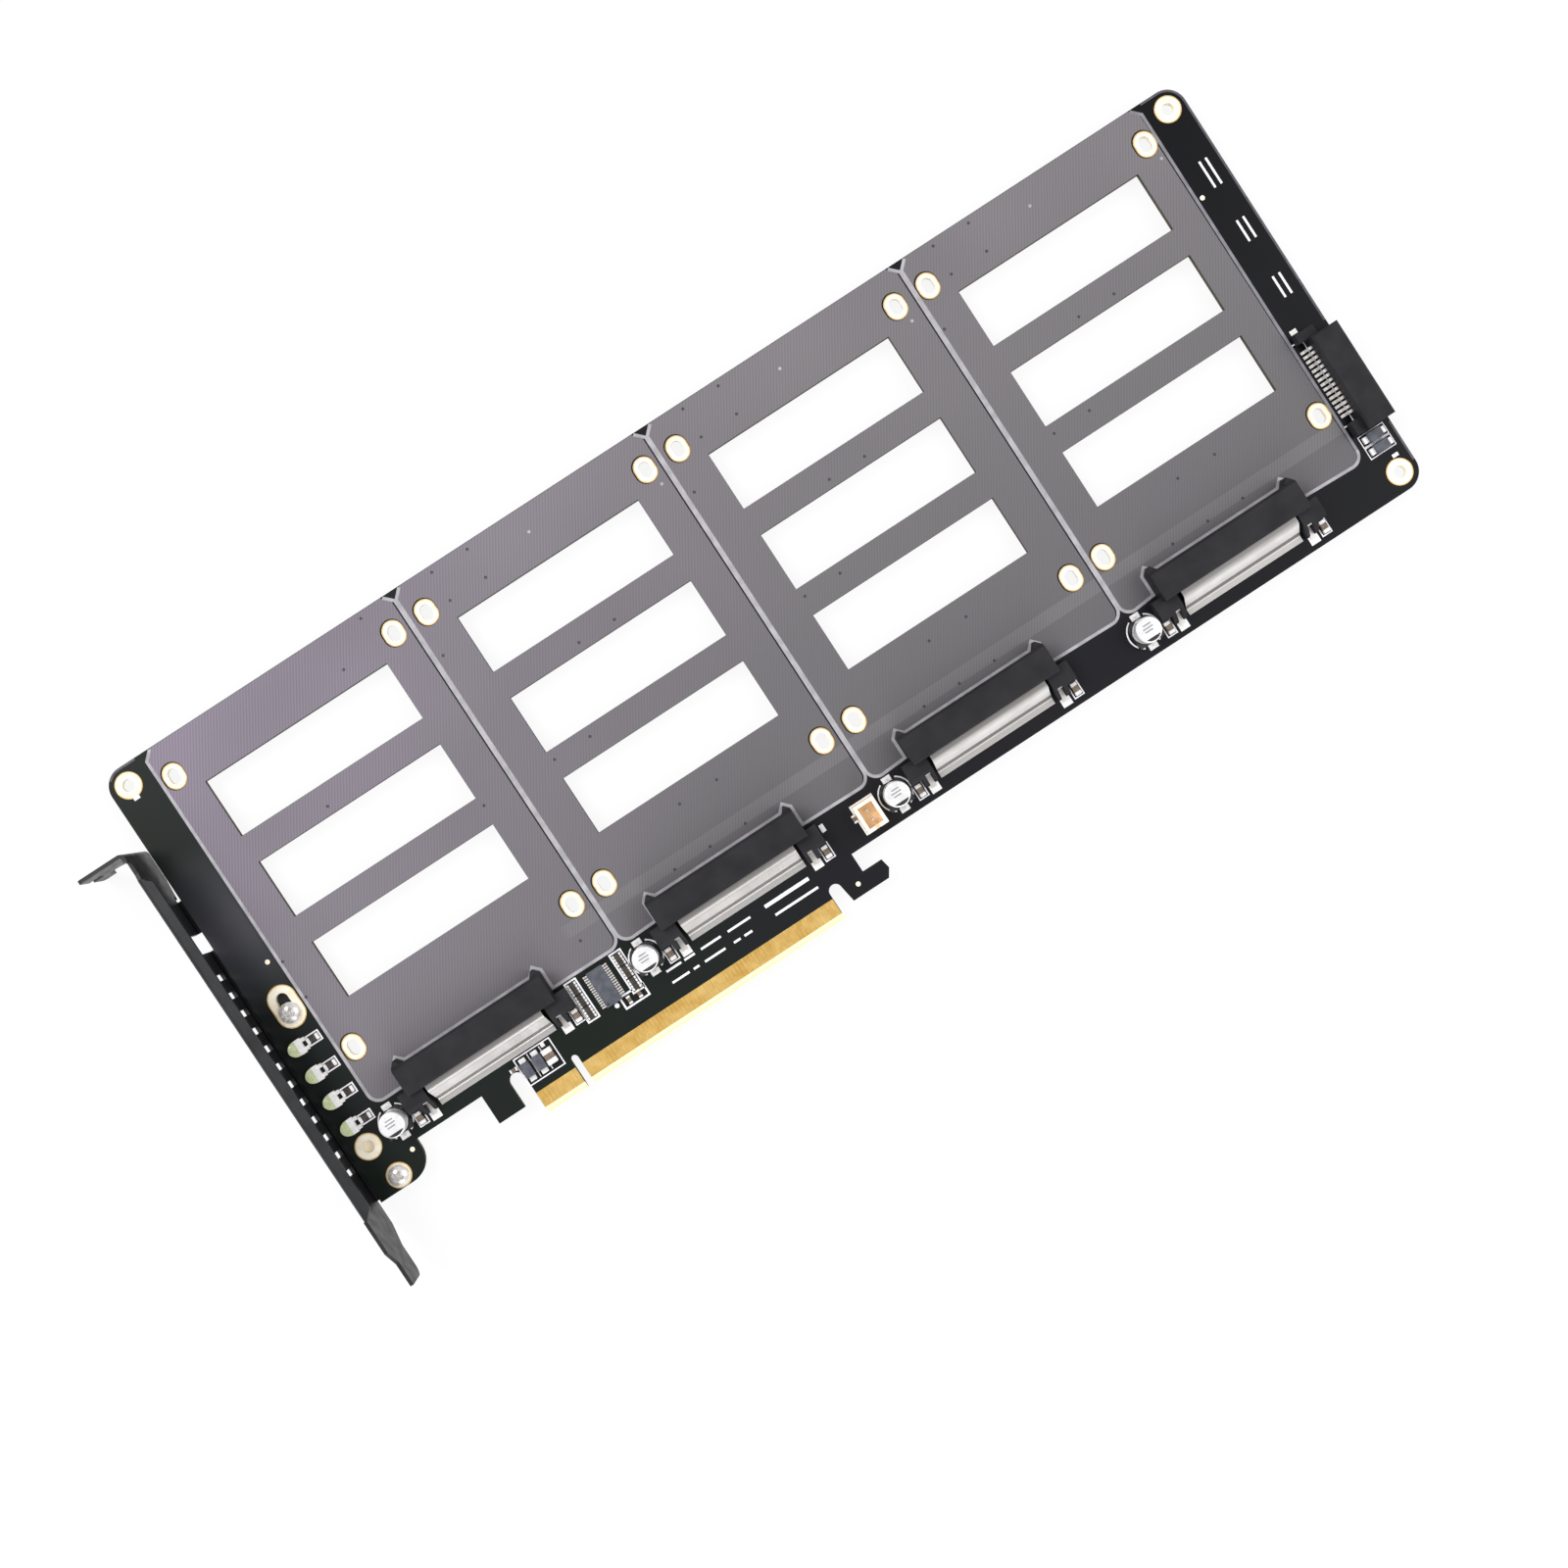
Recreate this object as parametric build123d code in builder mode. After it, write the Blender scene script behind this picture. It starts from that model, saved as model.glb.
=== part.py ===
# SSD riser card: a full-length expansion card that carries four 2.5 inch drives.
#
# The origin is the centre of the four corner holes, on the board's component face.
# +X runs along the card away from the end bracket, +Y from the edge contacts to the
# card's top edge, and +Z out of the component face.  All sizes are in millimetres.

import os

from build123d import *

os.makedirs("parts", exist_ok=True)

# Board
board_length = 303.0
board_width = 111.8
board_thickness = 1.6
board_corner_radius = 5.0
corner_hole_inset = 4.75
corner_hole_radius = 1.6

# Drive bays: the bottom hole pattern of a 2.5 inch drive, four times
bay_count = 4
bay_end_margins = 19.6
bay_row_offset = 0.6
bay_center_y = 8.8
drive_hole_spacing_x = 61.72
drive_hole_spacing_y = 76.60
drive_hole_to_drive_end = 14.0
drive_slot_radius = 1.5
drive_slot_length = 4.2

# Ventilation windows under each drive
windows_per_bay = 3
window_length = 51.0
window_height = 15.4
window_pitch = 22.7
window_row_center_y = 11.7

# Tongue of the edge connector, and its contacts
key_inset = 57.0
key_width = 1.9
key_depth = 8.2
short_tongue_length = 11.2
long_tongue_length = 71.2
tongue_drop = 11.95
contact_pitch = 1.0
contact_width = 0.7
contact_length = 3.9
contact_thickness = 0.05
first_contact_from_key = 1.5
short_row_count = 11
long_row_count = 71
bevel_length = 1.5
bevel_depth = 0.45

# Lobe that carries the bracket's lower screw, small tab and retention hook
lobe_width = 15.2
lobe_drop = 8.1
lobe_corner_radius = 6.0
tab_width = 7.2
tab_drop = 7.8
tab_gap = 4.0
tab_gap_top = 0.4
hook_drop = 9.6
hook_gap = 3.2
hook_gap_depth = 6.0
hook_gap_slope = 0.7
hook_stem = 6.3
hook_reach = 5.8
hook_notch = 5.0
hook_tip_slope = 0.5
hook_tip_chamfer_x = 1.4
hook_tip_chamfer_y = 2.1

# Plated lands round the holes
land_thickness = 0.05
drive_land_border = 1.2
corner_land_border = 1.7

# Bracket: one folded sheet
sheet = 0.9
bend_radius = 0.5
bracket_gap = 1.2
bracket_width = 18.42
bracket_top_z = 14.3
bracket_length = 120.0
bracket_top_y = 36.9
relief_depth = 2.0
relief_slope = 1.6
lip_start = 7.4
lip_length = 94.0
lip_width = 3.2
lip_chamfer = 2.2
flange_start = 14.2
flange_length = 86.0
flange_width = 13.4
flange_lead = 5.6
relief_width = 1.6
screw_tab_depth = 11.43
screw_tab_corner = 1.2
screw_notch_width = 4.42
screw_notch_depth = 6.6
screw_notch_from_end = 5.6
side_notch_depth = 3.1
side_notch_width = 3.4
side_notch_from_top = 7.4
cutout_start = 23.9
cutout_width = 5.0
cutout_top_z = 6.7
vent_count = 12
vent_pitch = 5.0
vent_start = 35.6
vent_width = 1.7
vent_bottom_z = -0.3
vent_top_z = 11.8
plate_edge_drop = 0.3
tongue_plate_width = 10.19
tongue_plate_top_z = 10.8
tongue_plate_length = 6.2
tongue_plate_taper = 3.6
tongue_plate_corner = 2.4

# Bracket screws, and the board's holes for them
bracket_hole_width = 3.3
bracket_slot_length = 7.2
bracket_land_border = 1.95
upper_hole_inset = 7.0
upper_hole_y = -12.8
upper_screw_shift = -1.6
lower_hole_inset = 7.1
lower_hole_y = -60.8
screw_width = 2.9
screw_clearance = 0.05
screw_head_radius = 2.5
screw_head_height = 1.9
screw_head_side_count = 12
screw_head_taper = 18
screw_point = 0.5
screw_recess_width = 0.7
screw_recess_length = 2.9
screw_recess_depth = 1.1

# Drive receptacle housings
receptacle_offset = -4.8
receptacle_overlap = 4.7
receptacle_width = 41.0
receptacle_depth = 7.4
receptacle_height = 6.4
receptacle_edge = 0.5
mouth_width = 33.8
mouth_height = 2.3
mouth_depth = 4.6
mouth_center_z = 3.7
mouth_key_width = 1.6
mouth_key_drop = 1.2
guide_width = 2.5
guide_reach = 1.6
guide_height = 5.4
guide_shoulder = 0.2
wing_span = 46.5
wing_width = 6.2
wing_overlap = 1.3
wing_depth = 7.3
wing_height = 4.2
wing_slope_depth = 3.2
wing_rear_height = 1.6
wing_step_width = 2.7
wing_step_depth = 2.0

# Board locks of the drive receptacles
lock_width = 1.3
lock_clearance = 0.1
lock_thickness = 0.3
lock_height = 3.0
lock_slot_depth = 2.6
lock_slot_inset = 1.0
lock_foot = 1.1

# Contact tails of the drive receptacles
tail_count = 41
tail_pitch = 0.8
tail_width = 0.4
tail_thickness = 0.35
tail_exit_z = 5.3
tail_reach = 4.7
tail_foot = 1.5

# Capacitors
can_radius = 3.15
can_height = 5.2
base_size = 6.6
base_plate = 0.8
base_chamfer = 1.3
lead_width = 0.75
lead_thickness = 0.2
lead_gap = 1.8
lead_reach = 0.9
capacitor_offset_x = -32.26
capacitor_y = -49.6

# Status lights
light_count = 4
light_pitch = 7.47
light_first_y = -22.5
light_inset = 4.6
light_height = 1.3
light_body_depth = 1.6
light_body_width = 3.9
lens_depth = 2.4
lens_shoulder = 0.9
lens_flat = 1.9
lens_inset = 0.1

# Two-pin wafer header
header_offset_x = -40.225
header_y = -50.2
header_width = 5.6
header_length = 7.3
header_height = 6.0
header_wall = 0.85
header_floor = 1.6
header_notch_width = 1.1
header_notch_height = 3.4
header_pin_size = 0.64
header_pin_pitch = 2.5
header_pin_rise = 4.6
header_pin_below = 0.9
header_pin_hole = 0.8

# Power connector at the far edge
power_y = -25.55
power_length = 25.7
power_depth = 7.4
power_height = 5.6
power_overhang = 0.2
power_edge = 0.5
power_mouth_shift = 0.6
power_mouth_length = 22.8
power_mouth_height = 3.6
power_mouth_depth = 5.4
power_mouth_z = 2.9
power_blade_length = 20.57
power_blade_thickness = 1.23
power_blade_reach = 4.9
power_key_width = 1.4
power_key_drop = 0.6
power_ear_length = 2.4
power_ear_depth = 5.0
power_ear_height = 3.4
power_ear_setback = 2.4
power_tail_count = 15
power_tail_pitch = 1.27
power_tail_shift = 1.85
power_tail_width = 0.7
power_tail_thickness = 0.3
power_tail_exit_z = 2.5
power_tail_reach = 1.4
power_tail_foot = 1.0

# Clock buffer chip
buffer_offset_x = -44.325
buffer_y = -49.9
buffer_width = 4.4
buffer_length = 9.7
buffer_standoff = 0.1
buffer_thickness = 0.95
buffer_leads_per_side = 14
buffer_lead_pitch = 0.65
buffer_lead_width = 0.26
buffer_lead_thickness = 0.2
buffer_lead_span = 6.4
buffer_lead_foot = 0.5
buffer_lead_exit_z = 0.7

# Resistor networks on both sides of the clock buffer
networks_per_side = 3
network_distance = 6.35
network_pitch = 3.35
network_length = 3.2
network_width = 1.6
network_height = 0.55
network_terminal_reach = 0.3

# Two-ended chips: lengths are overall, with both terminals
resistor_length = 3.2
resistor_width = 1.6
resistor_height = 0.6
resistor_terminal = 0.6
resistor_distance = 3.4
bypass_length = 3.2
bypass_width = 1.6
bypass_height = 1.2
bypass_terminal = 0.9
bypass_inset = 1.15
bypass_shift = 0.1
small_length = 2.0
small_width = 1.0
small_height = 0.8
small_terminal = 0.5
bulk_length = 4.0
bulk_width = 2.6
bulk_height = 1.4
bulk_terminal = 1.3
diode_length = 6.0
diode_width = 2.5
diode_height = 1.9
diode_terminal = 1.2
diode_terminal_width = 1.7
diode_terminal_height = 0.9
power_diode_inset = 5.4
header_chip_gap = 3.5

# Places that follow from the sizes
half_length = board_length / 2
half_width = board_width / 2
bay_pitch = (board_length - bay_end_margins) / bay_count
key_x = key_inset - half_length
upper_hole_x = upper_hole_inset - half_length
lower_hole_x = lower_hole_inset - half_length
light_x = light_inset - half_length
corner_hole_span_x = board_length - 2 * corner_hole_inset
corner_hole_span_y = board_width - 2 * corner_hole_inset
bay_centers = [bay_row_offset + (i - (bay_count - 1) / 2) * bay_pitch for i in range(bay_count)]
tongue_left = key_x - key_width / 2 - short_tongue_length
tongue_right = key_x + key_width / 2 + long_tongue_length
tongue_bottom = -half_width - tongue_drop
lobe_right = -half_length + lobe_width
tab_right = tongue_left - tab_gap
tab_left = tab_right - tab_width
hook_left = tongue_right + hook_gap
hook_tip = hook_left + hook_stem + hook_reach
hook_bottom = -half_width - hook_drop
hook_notch_bottom = -half_width - hook_notch
board_bottom_z = -board_thickness
upper_screw_y = upper_hole_y + upper_screw_shift
thread_width = screw_width + 2 * screw_clearance
bracket_screw_places = [(upper_hole_x, upper_screw_y), (lower_hole_x, lower_hole_y)]
drive_end_y = bay_center_y - drive_hole_spacing_y / 2 - drive_hole_to_drive_end
receptacle_front_y = drive_end_y + receptacle_overlap
receptacle_back_y = receptacle_front_y - receptacle_depth
receptacle_centers = [x + receptacle_offset for x in bay_centers]
capacitor_centers = [x + capacitor_offset_x for x in bay_centers]
light_centers_y = [light_first_y - i * light_pitch for i in range(light_count)]
header_x = bay_centers[2] + header_offset_x
buffer_x = bay_centers[1] + buffer_offset_x
header_pin_places = [(header_x, header_y + side * header_pin_pitch / 2) for side in (-1, 1)]


# Board outline, with the lobe, the tab, the tongue and the hook below the lower edge
outline_corners = [
    ((-half_length, half_width), board_corner_radius),
    ((-half_length, -half_width - lobe_drop), 0),
    ((lobe_right, -half_width - lobe_drop), lobe_corner_radius),
    ((lobe_right, -half_width), 0),
    ((tab_left, -half_width), 0),
    ((tab_left, -half_width - tab_drop), 0),
    ((tongue_left, -half_width - tab_drop), 0),
    ((tongue_left, tongue_bottom), 0),
    ((tongue_right, tongue_bottom), 0),
    ((tongue_right, hook_bottom), 0),
    ((hook_tip - hook_tip_chamfer_x, hook_bottom), 0),
    ((hook_tip, hook_bottom + hook_tip_chamfer_y), 0),
    ((hook_tip - hook_tip_slope, hook_notch_bottom), 0),
    ((hook_left + hook_stem, hook_notch_bottom), 0),
    ((hook_left + hook_stem, -half_width), 0),
    ((half_length, -half_width), board_corner_radius),
    ((half_length, half_width), board_corner_radius),
]


def cut_cornered_slot(width, length, mode=Mode.ADD):
    """Slot along Y with its corners cut at 45 degrees, a regular octagon where width and length agree."""
    side_x = width / 2
    end_y = length / 2
    cut = width / (2 + 2**0.5)
    Polygon(
        (-side_x, cut - end_y),
        (cut - side_x, -end_y),
        (side_x - cut, -end_y),
        (side_x, cut - end_y),
        (side_x, end_y - cut),
        (side_x - cut, end_y),
        (cut - side_x, end_y),
        (-side_x, end_y - cut),
        mode=mode,
    )


def round_topped_notch(center_x, top_y, width):
    """Notch open at the tongue's lower edge, with a full round at its top."""
    reach = top_y - tongue_bottom + width
    with Locations((center_x, top_y - reach / 2)):
        SlotOverall(reach, width, rotation=90, mode=Mode.SUBTRACT)


with BuildSketch() as outline:
    with BuildLine():
        FilletPolyline(
            *[corner for corner, radius in outline_corners],
            radius=[radius for corner, radius in outline_corners],
            close=True,
        )
    make_face()
    round_topped_notch(tongue_left - tab_gap / 2, -half_width + tab_gap_top, tab_gap)
    round_topped_notch(key_x, tongue_bottom + key_depth, key_width)
    gap_round_y = hook_bottom + hook_gap_depth - hook_gap / 2
    with Locations((tongue_right + hook_gap / 2, gap_round_y)):
        Circle(hook_gap / 2, mode=Mode.SUBTRACT)
    Polygon(
        (tongue_right, gap_round_y),
        (tongue_right, tongue_bottom),
        (hook_left + hook_gap_slope, tongue_bottom),
        (hook_left + hook_gap_slope, hook_bottom),
        (hook_left, gap_round_y),
        align=None,
        mode=Mode.SUBTRACT,
    )

# Circuit board
with BuildPart() as circuit_board:
    with BuildSketch(Plane.XY.offset(board_bottom_z)):
        add(outline.sketch)
        for bay_x in bay_centers:
            with Locations((bay_x, window_row_center_y)):
                with GridLocations(0, window_pitch, 1, windows_per_bay):
                    Rectangle(window_length, window_height, mode=Mode.SUBTRACT)
            with Locations((bay_x, bay_center_y)):
                with GridLocations(drive_hole_spacing_x, drive_hole_spacing_y, 2, 2):
                    SlotOverall(drive_slot_length, 2 * drive_slot_radius, rotation=90, mode=Mode.SUBTRACT)
        with GridLocations(corner_hole_span_x, corner_hole_span_y, 2, 2):
            Circle(corner_hole_radius, mode=Mode.SUBTRACT)
        with Locations((upper_hole_x, upper_hole_y)):
            cut_cornered_slot(bracket_hole_width, bracket_slot_length, Mode.SUBTRACT)
        with Locations((lower_hole_x, lower_hole_y)):
            cut_cornered_slot(bracket_hole_width, bracket_hole_width, Mode.SUBTRACT)
        with Locations(*header_pin_places):
            Rectangle(header_pin_hole, header_pin_hole, mode=Mode.SUBTRACT)
    extrude(amount=board_thickness)
    # Bevels on both faces of the tongue
    with BuildSketch(Plane.YZ.offset(tongue_left)):
        for face_z, inward in ((0, -1), (board_bottom_z, 1)):
            Polygon(
                (tongue_bottom + bevel_length, face_z),
                (tongue_bottom, face_z),
                (tongue_bottom, face_z + inward * bevel_depth),
                align=None,
            )
    extrude(amount=tongue_right - tongue_left, mode=Mode.SUBTRACT)

# Edge contacts, on both faces of the tongue
with BuildSketch() as contact_rows:
    contact_y = tongue_bottom + bevel_length + contact_length / 2
    for side, count in ((-1, short_row_count), (1, long_row_count)):
        row_center = first_contact_from_key + (count - 1) * contact_pitch / 2
        with Locations((key_x + side * row_center, contact_y)):
            with GridLocations(contact_pitch, 0, count, 1):
                Rectangle(contact_width, contact_length)

with BuildPart() as edge_contacts:
    with BuildSketch(Plane.XY):
        add(contact_rows.sketch)
    extrude(amount=contact_thickness)
    with BuildSketch(Plane.XY.offset(board_bottom_z)):
        add(contact_rows.sketch)
    extrude(amount=-contact_thickness)

# Plated lands round the holes of the component face, cut off where the board ends
def land(width, length, border):
    """Land round a hole of that width and length, as a ring with cut corners."""
    cut_cornered_slot(width + 2 * border, length + 2 * border)
    cut_cornered_slot(width, length, Mode.SUBTRACT)


with BuildPart() as plated_lands:
    with BuildSketch(Plane.XY):
        for bay_x in bay_centers:
            with Locations((bay_x, bay_center_y)):
                with GridLocations(drive_hole_spacing_x, drive_hole_spacing_y, 2, 2):
                    land(2 * drive_slot_radius, drive_slot_length, drive_land_border)
        with GridLocations(corner_hole_span_x, corner_hole_span_y, 2, 2):
            land(2 * corner_hole_radius, 2 * corner_hole_radius, corner_land_border)
        with Locations((upper_hole_x, upper_hole_y)):
            land(bracket_hole_width, bracket_slot_length, bracket_land_border)
        with Locations((lower_hole_x, lower_hole_y)):
            land(bracket_hole_width, bracket_hole_width, bracket_land_border)
        add(outline.sketch, mode=Mode.INTERSECT)
    extrude(amount=land_thickness)

# Bracket
plate_inner_x = -half_length - bracket_gap
plate_outer_x = plate_inner_x - sheet
plate_middle_x = plate_inner_x - sheet / 2
bend = sheet + bend_radius
bracket_bottom_z = bracket_top_z - bracket_width
flange_bottom_z = board_bottom_z - sheet
plate_start_y = bracket_top_y - bend
lip_start_y = bracket_top_y - lip_start
lip_end_y = lip_start_y - lip_length
flange_start_y = bracket_top_y - flange_start
flange_end_y = flange_start_y - flange_length
flange_middle_z = board_bottom_z - sheet / 2
tip_y = bracket_top_y - bracket_length
tongue_plate_start = tip_y + tongue_plate_length
tongue_plate_bottom_z = tongue_plate_top_z - tongue_plate_width
screw_tab_end_x = plate_outer_x - screw_tab_depth
vent_length = vent_top_z - vent_bottom_z

plate_corners = [
    ((plate_start_y, bracket_bottom_z), 0),
    ((plate_start_y, bracket_top_z - relief_depth), 0),
    ((lip_start_y + relief_slope, bracket_top_z - relief_depth), 0),
    ((lip_start_y, bracket_top_z - bend), 0),
    ((lip_end_y, bracket_top_z - bend), 0),
    ((lip_end_y, bracket_top_z - plate_edge_drop), 0),
    ((tongue_plate_start + tongue_plate_taper, bracket_top_z - plate_edge_drop), 0),
    ((tongue_plate_start, tongue_plate_top_z), 0),
    ((tip_y, tongue_plate_top_z), 0),
    ((tip_y, tongue_plate_bottom_z), tongue_plate_corner),
    ((tongue_plate_start + tongue_plate_taper / 2, tongue_plate_bottom_z), 0),
    ((tongue_plate_start + 2 * tongue_plate_taper, flange_bottom_z), 0),
    ((flange_end_y, flange_bottom_z), 0),
    ((flange_end_y, flange_bottom_z + bend), 0),
    ((flange_start_y, flange_bottom_z + bend), 0),
    ((flange_start_y, flange_bottom_z), 0),
    ((flange_start_y + flange_lead, bracket_bottom_z), 0),
]

with BuildPart() as bracket:
    # Flat plate with its ventilation slots
    with BuildSketch(Plane.YZ.offset(plate_outer_x)):
        with BuildLine():
            FilletPolyline(
                *[corner for corner, radius in plate_corners],
                radius=[radius for corner, radius in plate_corners],
                close=True,
            )
        make_face()
        for i in range(vent_count):
            vent_y = bracket_top_y - vent_start - i * vent_pitch
            with Locations((vent_y, vent_bottom_z + vent_length / 2)):
                Rectangle(vent_width, vent_length, mode=Mode.SUBTRACT)
    extrude(amount=sheet)
    # Lip, folded over the component side
    with BuildSketch(Plane.XZ.offset(-lip_start_y)):
        with BuildLine():
            FilletPolyline(
                (plate_middle_x, bracket_top_z - bend - sheet),
                (plate_middle_x, bracket_top_z - sheet / 2),
                (plate_outer_x + lip_width, bracket_top_z - sheet / 2),
                radius=bend_radius + sheet / 2,
            )
        trace(line_width=sheet)
    extrude(amount=lip_length)
    chamfer(bracket.edges().filter_by(Axis.Z).group_by(Axis.X)[-1], lip_chamfer)
    # Flange, folded under the board
    with BuildSketch(Plane.XZ.offset(-flange_start_y)):
        with BuildLine():
            FilletPolyline(
                (plate_middle_x, flange_bottom_z + bend + sheet),
                (plate_middle_x, flange_middle_z),
                (plate_outer_x + flange_width, flange_middle_z),
                radius=bend_radius + sheet / 2,
            )
        trace(line_width=sheet)
    extrude(amount=flange_length)
    # Screw tab, folded outwards
    with BuildSketch(Plane.XY.offset(bracket_bottom_z)):
        with BuildLine():
            FilletPolyline(
                (plate_middle_x, plate_start_y - sheet),
                (plate_middle_x, bracket_top_y - sheet / 2),
                (screw_tab_end_x, bracket_top_y - sheet / 2),
                radius=bend_radius + sheet / 2,
            )
        trace(line_width=sheet)
    extrude(amount=bracket_width)
    fillet(bracket.edges().filter_by(Axis.Y).group_by(Axis.X)[0], screw_tab_corner)
    with BuildSketch(Plane.XZ.offset(-bracket_top_y)):
        with Locations((screw_tab_end_x + screw_notch_from_end, bracket_bottom_z)):
            SlotOverall(2 * screw_notch_depth, screw_notch_width, rotation=90)
        side_notch_z = bracket_top_z - side_notch_from_top - side_notch_width / 2
        with Locations((screw_tab_end_x, side_notch_z)):
            Rectangle(2 * side_notch_depth, side_notch_width)
    extrude(amount=sheet, mode=Mode.SUBTRACT)
    # Cut-out through the plate and the flange's bend
    with BuildSketch(Plane.XZ.offset(-bracket_top_y + cutout_start)):
        with Locations((plate_outer_x, flange_bottom_z)):
            Rectangle(
                sheet + bracket_gap,
                cutout_top_z - flange_bottom_z,
                align=(Align.MIN, Align.MIN),
            )
    extrude(amount=cutout_width, mode=Mode.SUBTRACT)
    # Relief hole at the end of the bend, and the threaded holes for the screws
    with BuildSketch(Plane.XY.offset(flange_bottom_z)):
        with Locations((plate_inner_x, flange_start_y)):
            Rectangle(relief_width, relief_width)
        with Locations(*bracket_screw_places):
            cut_cornered_slot(thread_width, thread_width)
    extrude(amount=bend, mode=Mode.SUBTRACT)

# Bracket screws, with tapered heads and cross recesses
with BuildPart() as bracket_screws:
    with BuildSketch(Plane.XY.offset(land_thickness)):
        with Locations(*bracket_screw_places):
            RegularPolygon(screw_head_radius, screw_head_side_count)
    extrude(amount=screw_head_height, taper=screw_head_taper)
    with BuildSketch(Plane.XY.offset(land_thickness)):
        with Locations(*bracket_screw_places):
            cut_cornered_slot(screw_width, screw_width)
    extrude(amount=flange_bottom_z - screw_point - land_thickness)
    with BuildSketch(Plane.XY.offset(land_thickness + screw_head_height)):
        with Locations(*bracket_screw_places):
            Rectangle(screw_recess_length, screw_recess_width)
            Rectangle(screw_recess_width, screw_recess_length)
    extrude(amount=-screw_recess_depth, mode=Mode.SUBTRACT)

# Drive receptacle housing, built once on the bay's centre line
half_receptacle = receptacle_width / 2
wing_front_y = receptacle_back_y + wing_overlap
wing_rear_y = wing_front_y - wing_depth
lock_center_x = wing_span / 2 - wing_width + lock_slot_inset + lock_width / 2

with BuildPart() as receptacle_housing:
    # Body, with the chamfers along its top
    with BuildSketch(Plane.YZ.offset(-half_receptacle)):
        with BuildLine():
            Polyline(
                (receptacle_front_y, 0),
                (receptacle_front_y, receptacle_height - receptacle_edge),
                (receptacle_front_y - receptacle_edge, receptacle_height),
                (receptacle_back_y + receptacle_edge, receptacle_height),
                (receptacle_back_y, receptacle_height - receptacle_edge),
                (receptacle_back_y, 0),
                close=True,
            )
        make_face()
    extrude(amount=receptacle_width)
    # Guide posts with pointed lead-ins
    with BuildSketch(Plane.XY):
        for side in (-1, 1):
            Polygon(
                (side * (half_receptacle - guide_width), receptacle_back_y),
                (side * (half_receptacle - guide_width), receptacle_front_y),
                (side * (half_receptacle - guide_width / 2), receptacle_front_y + guide_reach),
                (side * half_receptacle, receptacle_front_y + guide_shoulder),
                (side * half_receptacle, receptacle_back_y),
                align=None,
            )
    extrude(amount=guide_height)
    # Wings that hold the board locks
    for side in (-1, 1):
        with BuildSketch(Plane.YZ.offset(side * wing_span / 2)):
            Polygon(
                (wing_front_y, 0),
                (wing_front_y, wing_height),
                (wing_rear_y + wing_slope_depth, wing_height),
                (wing_rear_y, wing_rear_height),
                (wing_rear_y, 0),
                align=None,
            )
        extrude(amount=-side * wing_width)
    with BuildSketch(Plane.XY):
        for side in (-1, 1):
            with Locations((side * lock_center_x, wing_rear_y)):
                Rectangle(lock_width + 2 * lock_clearance, 2 * lock_slot_depth)
            with Locations((side * wing_span / 2, wing_rear_y)):
                Rectangle(2 * wing_step_width, 2 * wing_step_depth)
    extrude(amount=wing_height, mode=Mode.SUBTRACT)
    # Mouth for the drive's blade, with a key leg at each end
    with BuildSketch(Plane.XZ.offset(-receptacle_front_y)):
        with Locations((0, mouth_center_z)):
            Rectangle(mouth_width, mouth_height)
        for side in (-1, 1):
            with Locations((side * (mouth_width - mouth_key_width) / 2, mouth_center_z - mouth_key_drop)):
                Rectangle(mouth_key_width, mouth_height)
    extrude(amount=mouth_depth, mode=Mode.SUBTRACT)

# Contact tails of a drive receptacle
with BuildPart() as receptacle_tail:
    with BuildSketch(Plane.YZ.offset(-tail_width / 2)):
        Polygon(
            (receptacle_back_y, tail_exit_z),
            (receptacle_back_y, tail_exit_z - tail_thickness),
            (receptacle_back_y - tail_reach, 0),
            (receptacle_back_y - tail_reach - tail_foot, 0),
            align=None,
        )
    extrude(amount=tail_width)

with BuildPart() as receptacle_tails:
    with GridLocations(tail_pitch, 0, tail_count, 1):
        add(receptacle_tail.part)

# Board locks of a drive receptacle: an upright plate in the wing and a soldered foot
lock_front_y = wing_rear_y + lock_slot_depth
with BuildPart() as receptacle_locks:
    for side in (-1, 1):
        with BuildSketch(Plane.YZ.offset(side * lock_center_x)):
            with BuildLine():
                Polyline(
                    (lock_front_y, 0),
                    (lock_front_y, lock_height),
                    (lock_front_y - lock_thickness, lock_height),
                    (lock_front_y - lock_thickness, lock_thickness),
                    (wing_rear_y - lock_foot, lock_thickness),
                    (wing_rear_y - lock_foot, 0),
                    close=True,
                )
            make_face()
        extrude(amount=lock_width / 2, both=True)

# Capacitor, built once at the origin: a base with two cut corners, a can on it and two flat leads
half_base = base_size / 2
with BuildPart() as capacitor_base:
    with BuildSketch(Plane.XY):
        Polygon(
            (-half_base, -half_base),
            (half_base, -half_base),
            (half_base, half_base - base_chamfer),
            (half_base - base_chamfer, half_base),
            (base_chamfer - half_base, half_base),
            (-half_base, half_base - base_chamfer),
            align=None,
        )
    extrude(amount=base_plate)
    with BuildSketch(Plane.XY):
        Rectangle(lead_width, base_size)
    extrude(amount=lead_thickness, mode=Mode.SUBTRACT)

with BuildPart() as capacitor_can:
    with BuildSketch(Plane.XY.offset(base_plate)):
        Circle(can_radius)
    extrude(amount=can_height)

with BuildPart() as capacitor_leads:
    with BuildSketch(Plane.XY):
        for side in (-1, 1):
            lead_length = base_size / 2 + lead_reach - lead_gap / 2
            with Locations((0, side * (lead_gap + lead_length) / 2)):
                Rectangle(lead_width, lead_length)
    extrude(amount=lead_thickness)

# Status lights: white bodies, with tapered lenses towards the bracket's slots
lens_face_x = light_x - light_body_depth / 2
lens_radius = light_body_width / 2
with BuildPart() as light_bodies:
    with BuildSketch(Plane.XY):
        with Locations(*[(light_x, y) for y in light_centers_y]):
            Rectangle(light_body_depth, light_body_width)
    extrude(amount=light_height)

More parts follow.
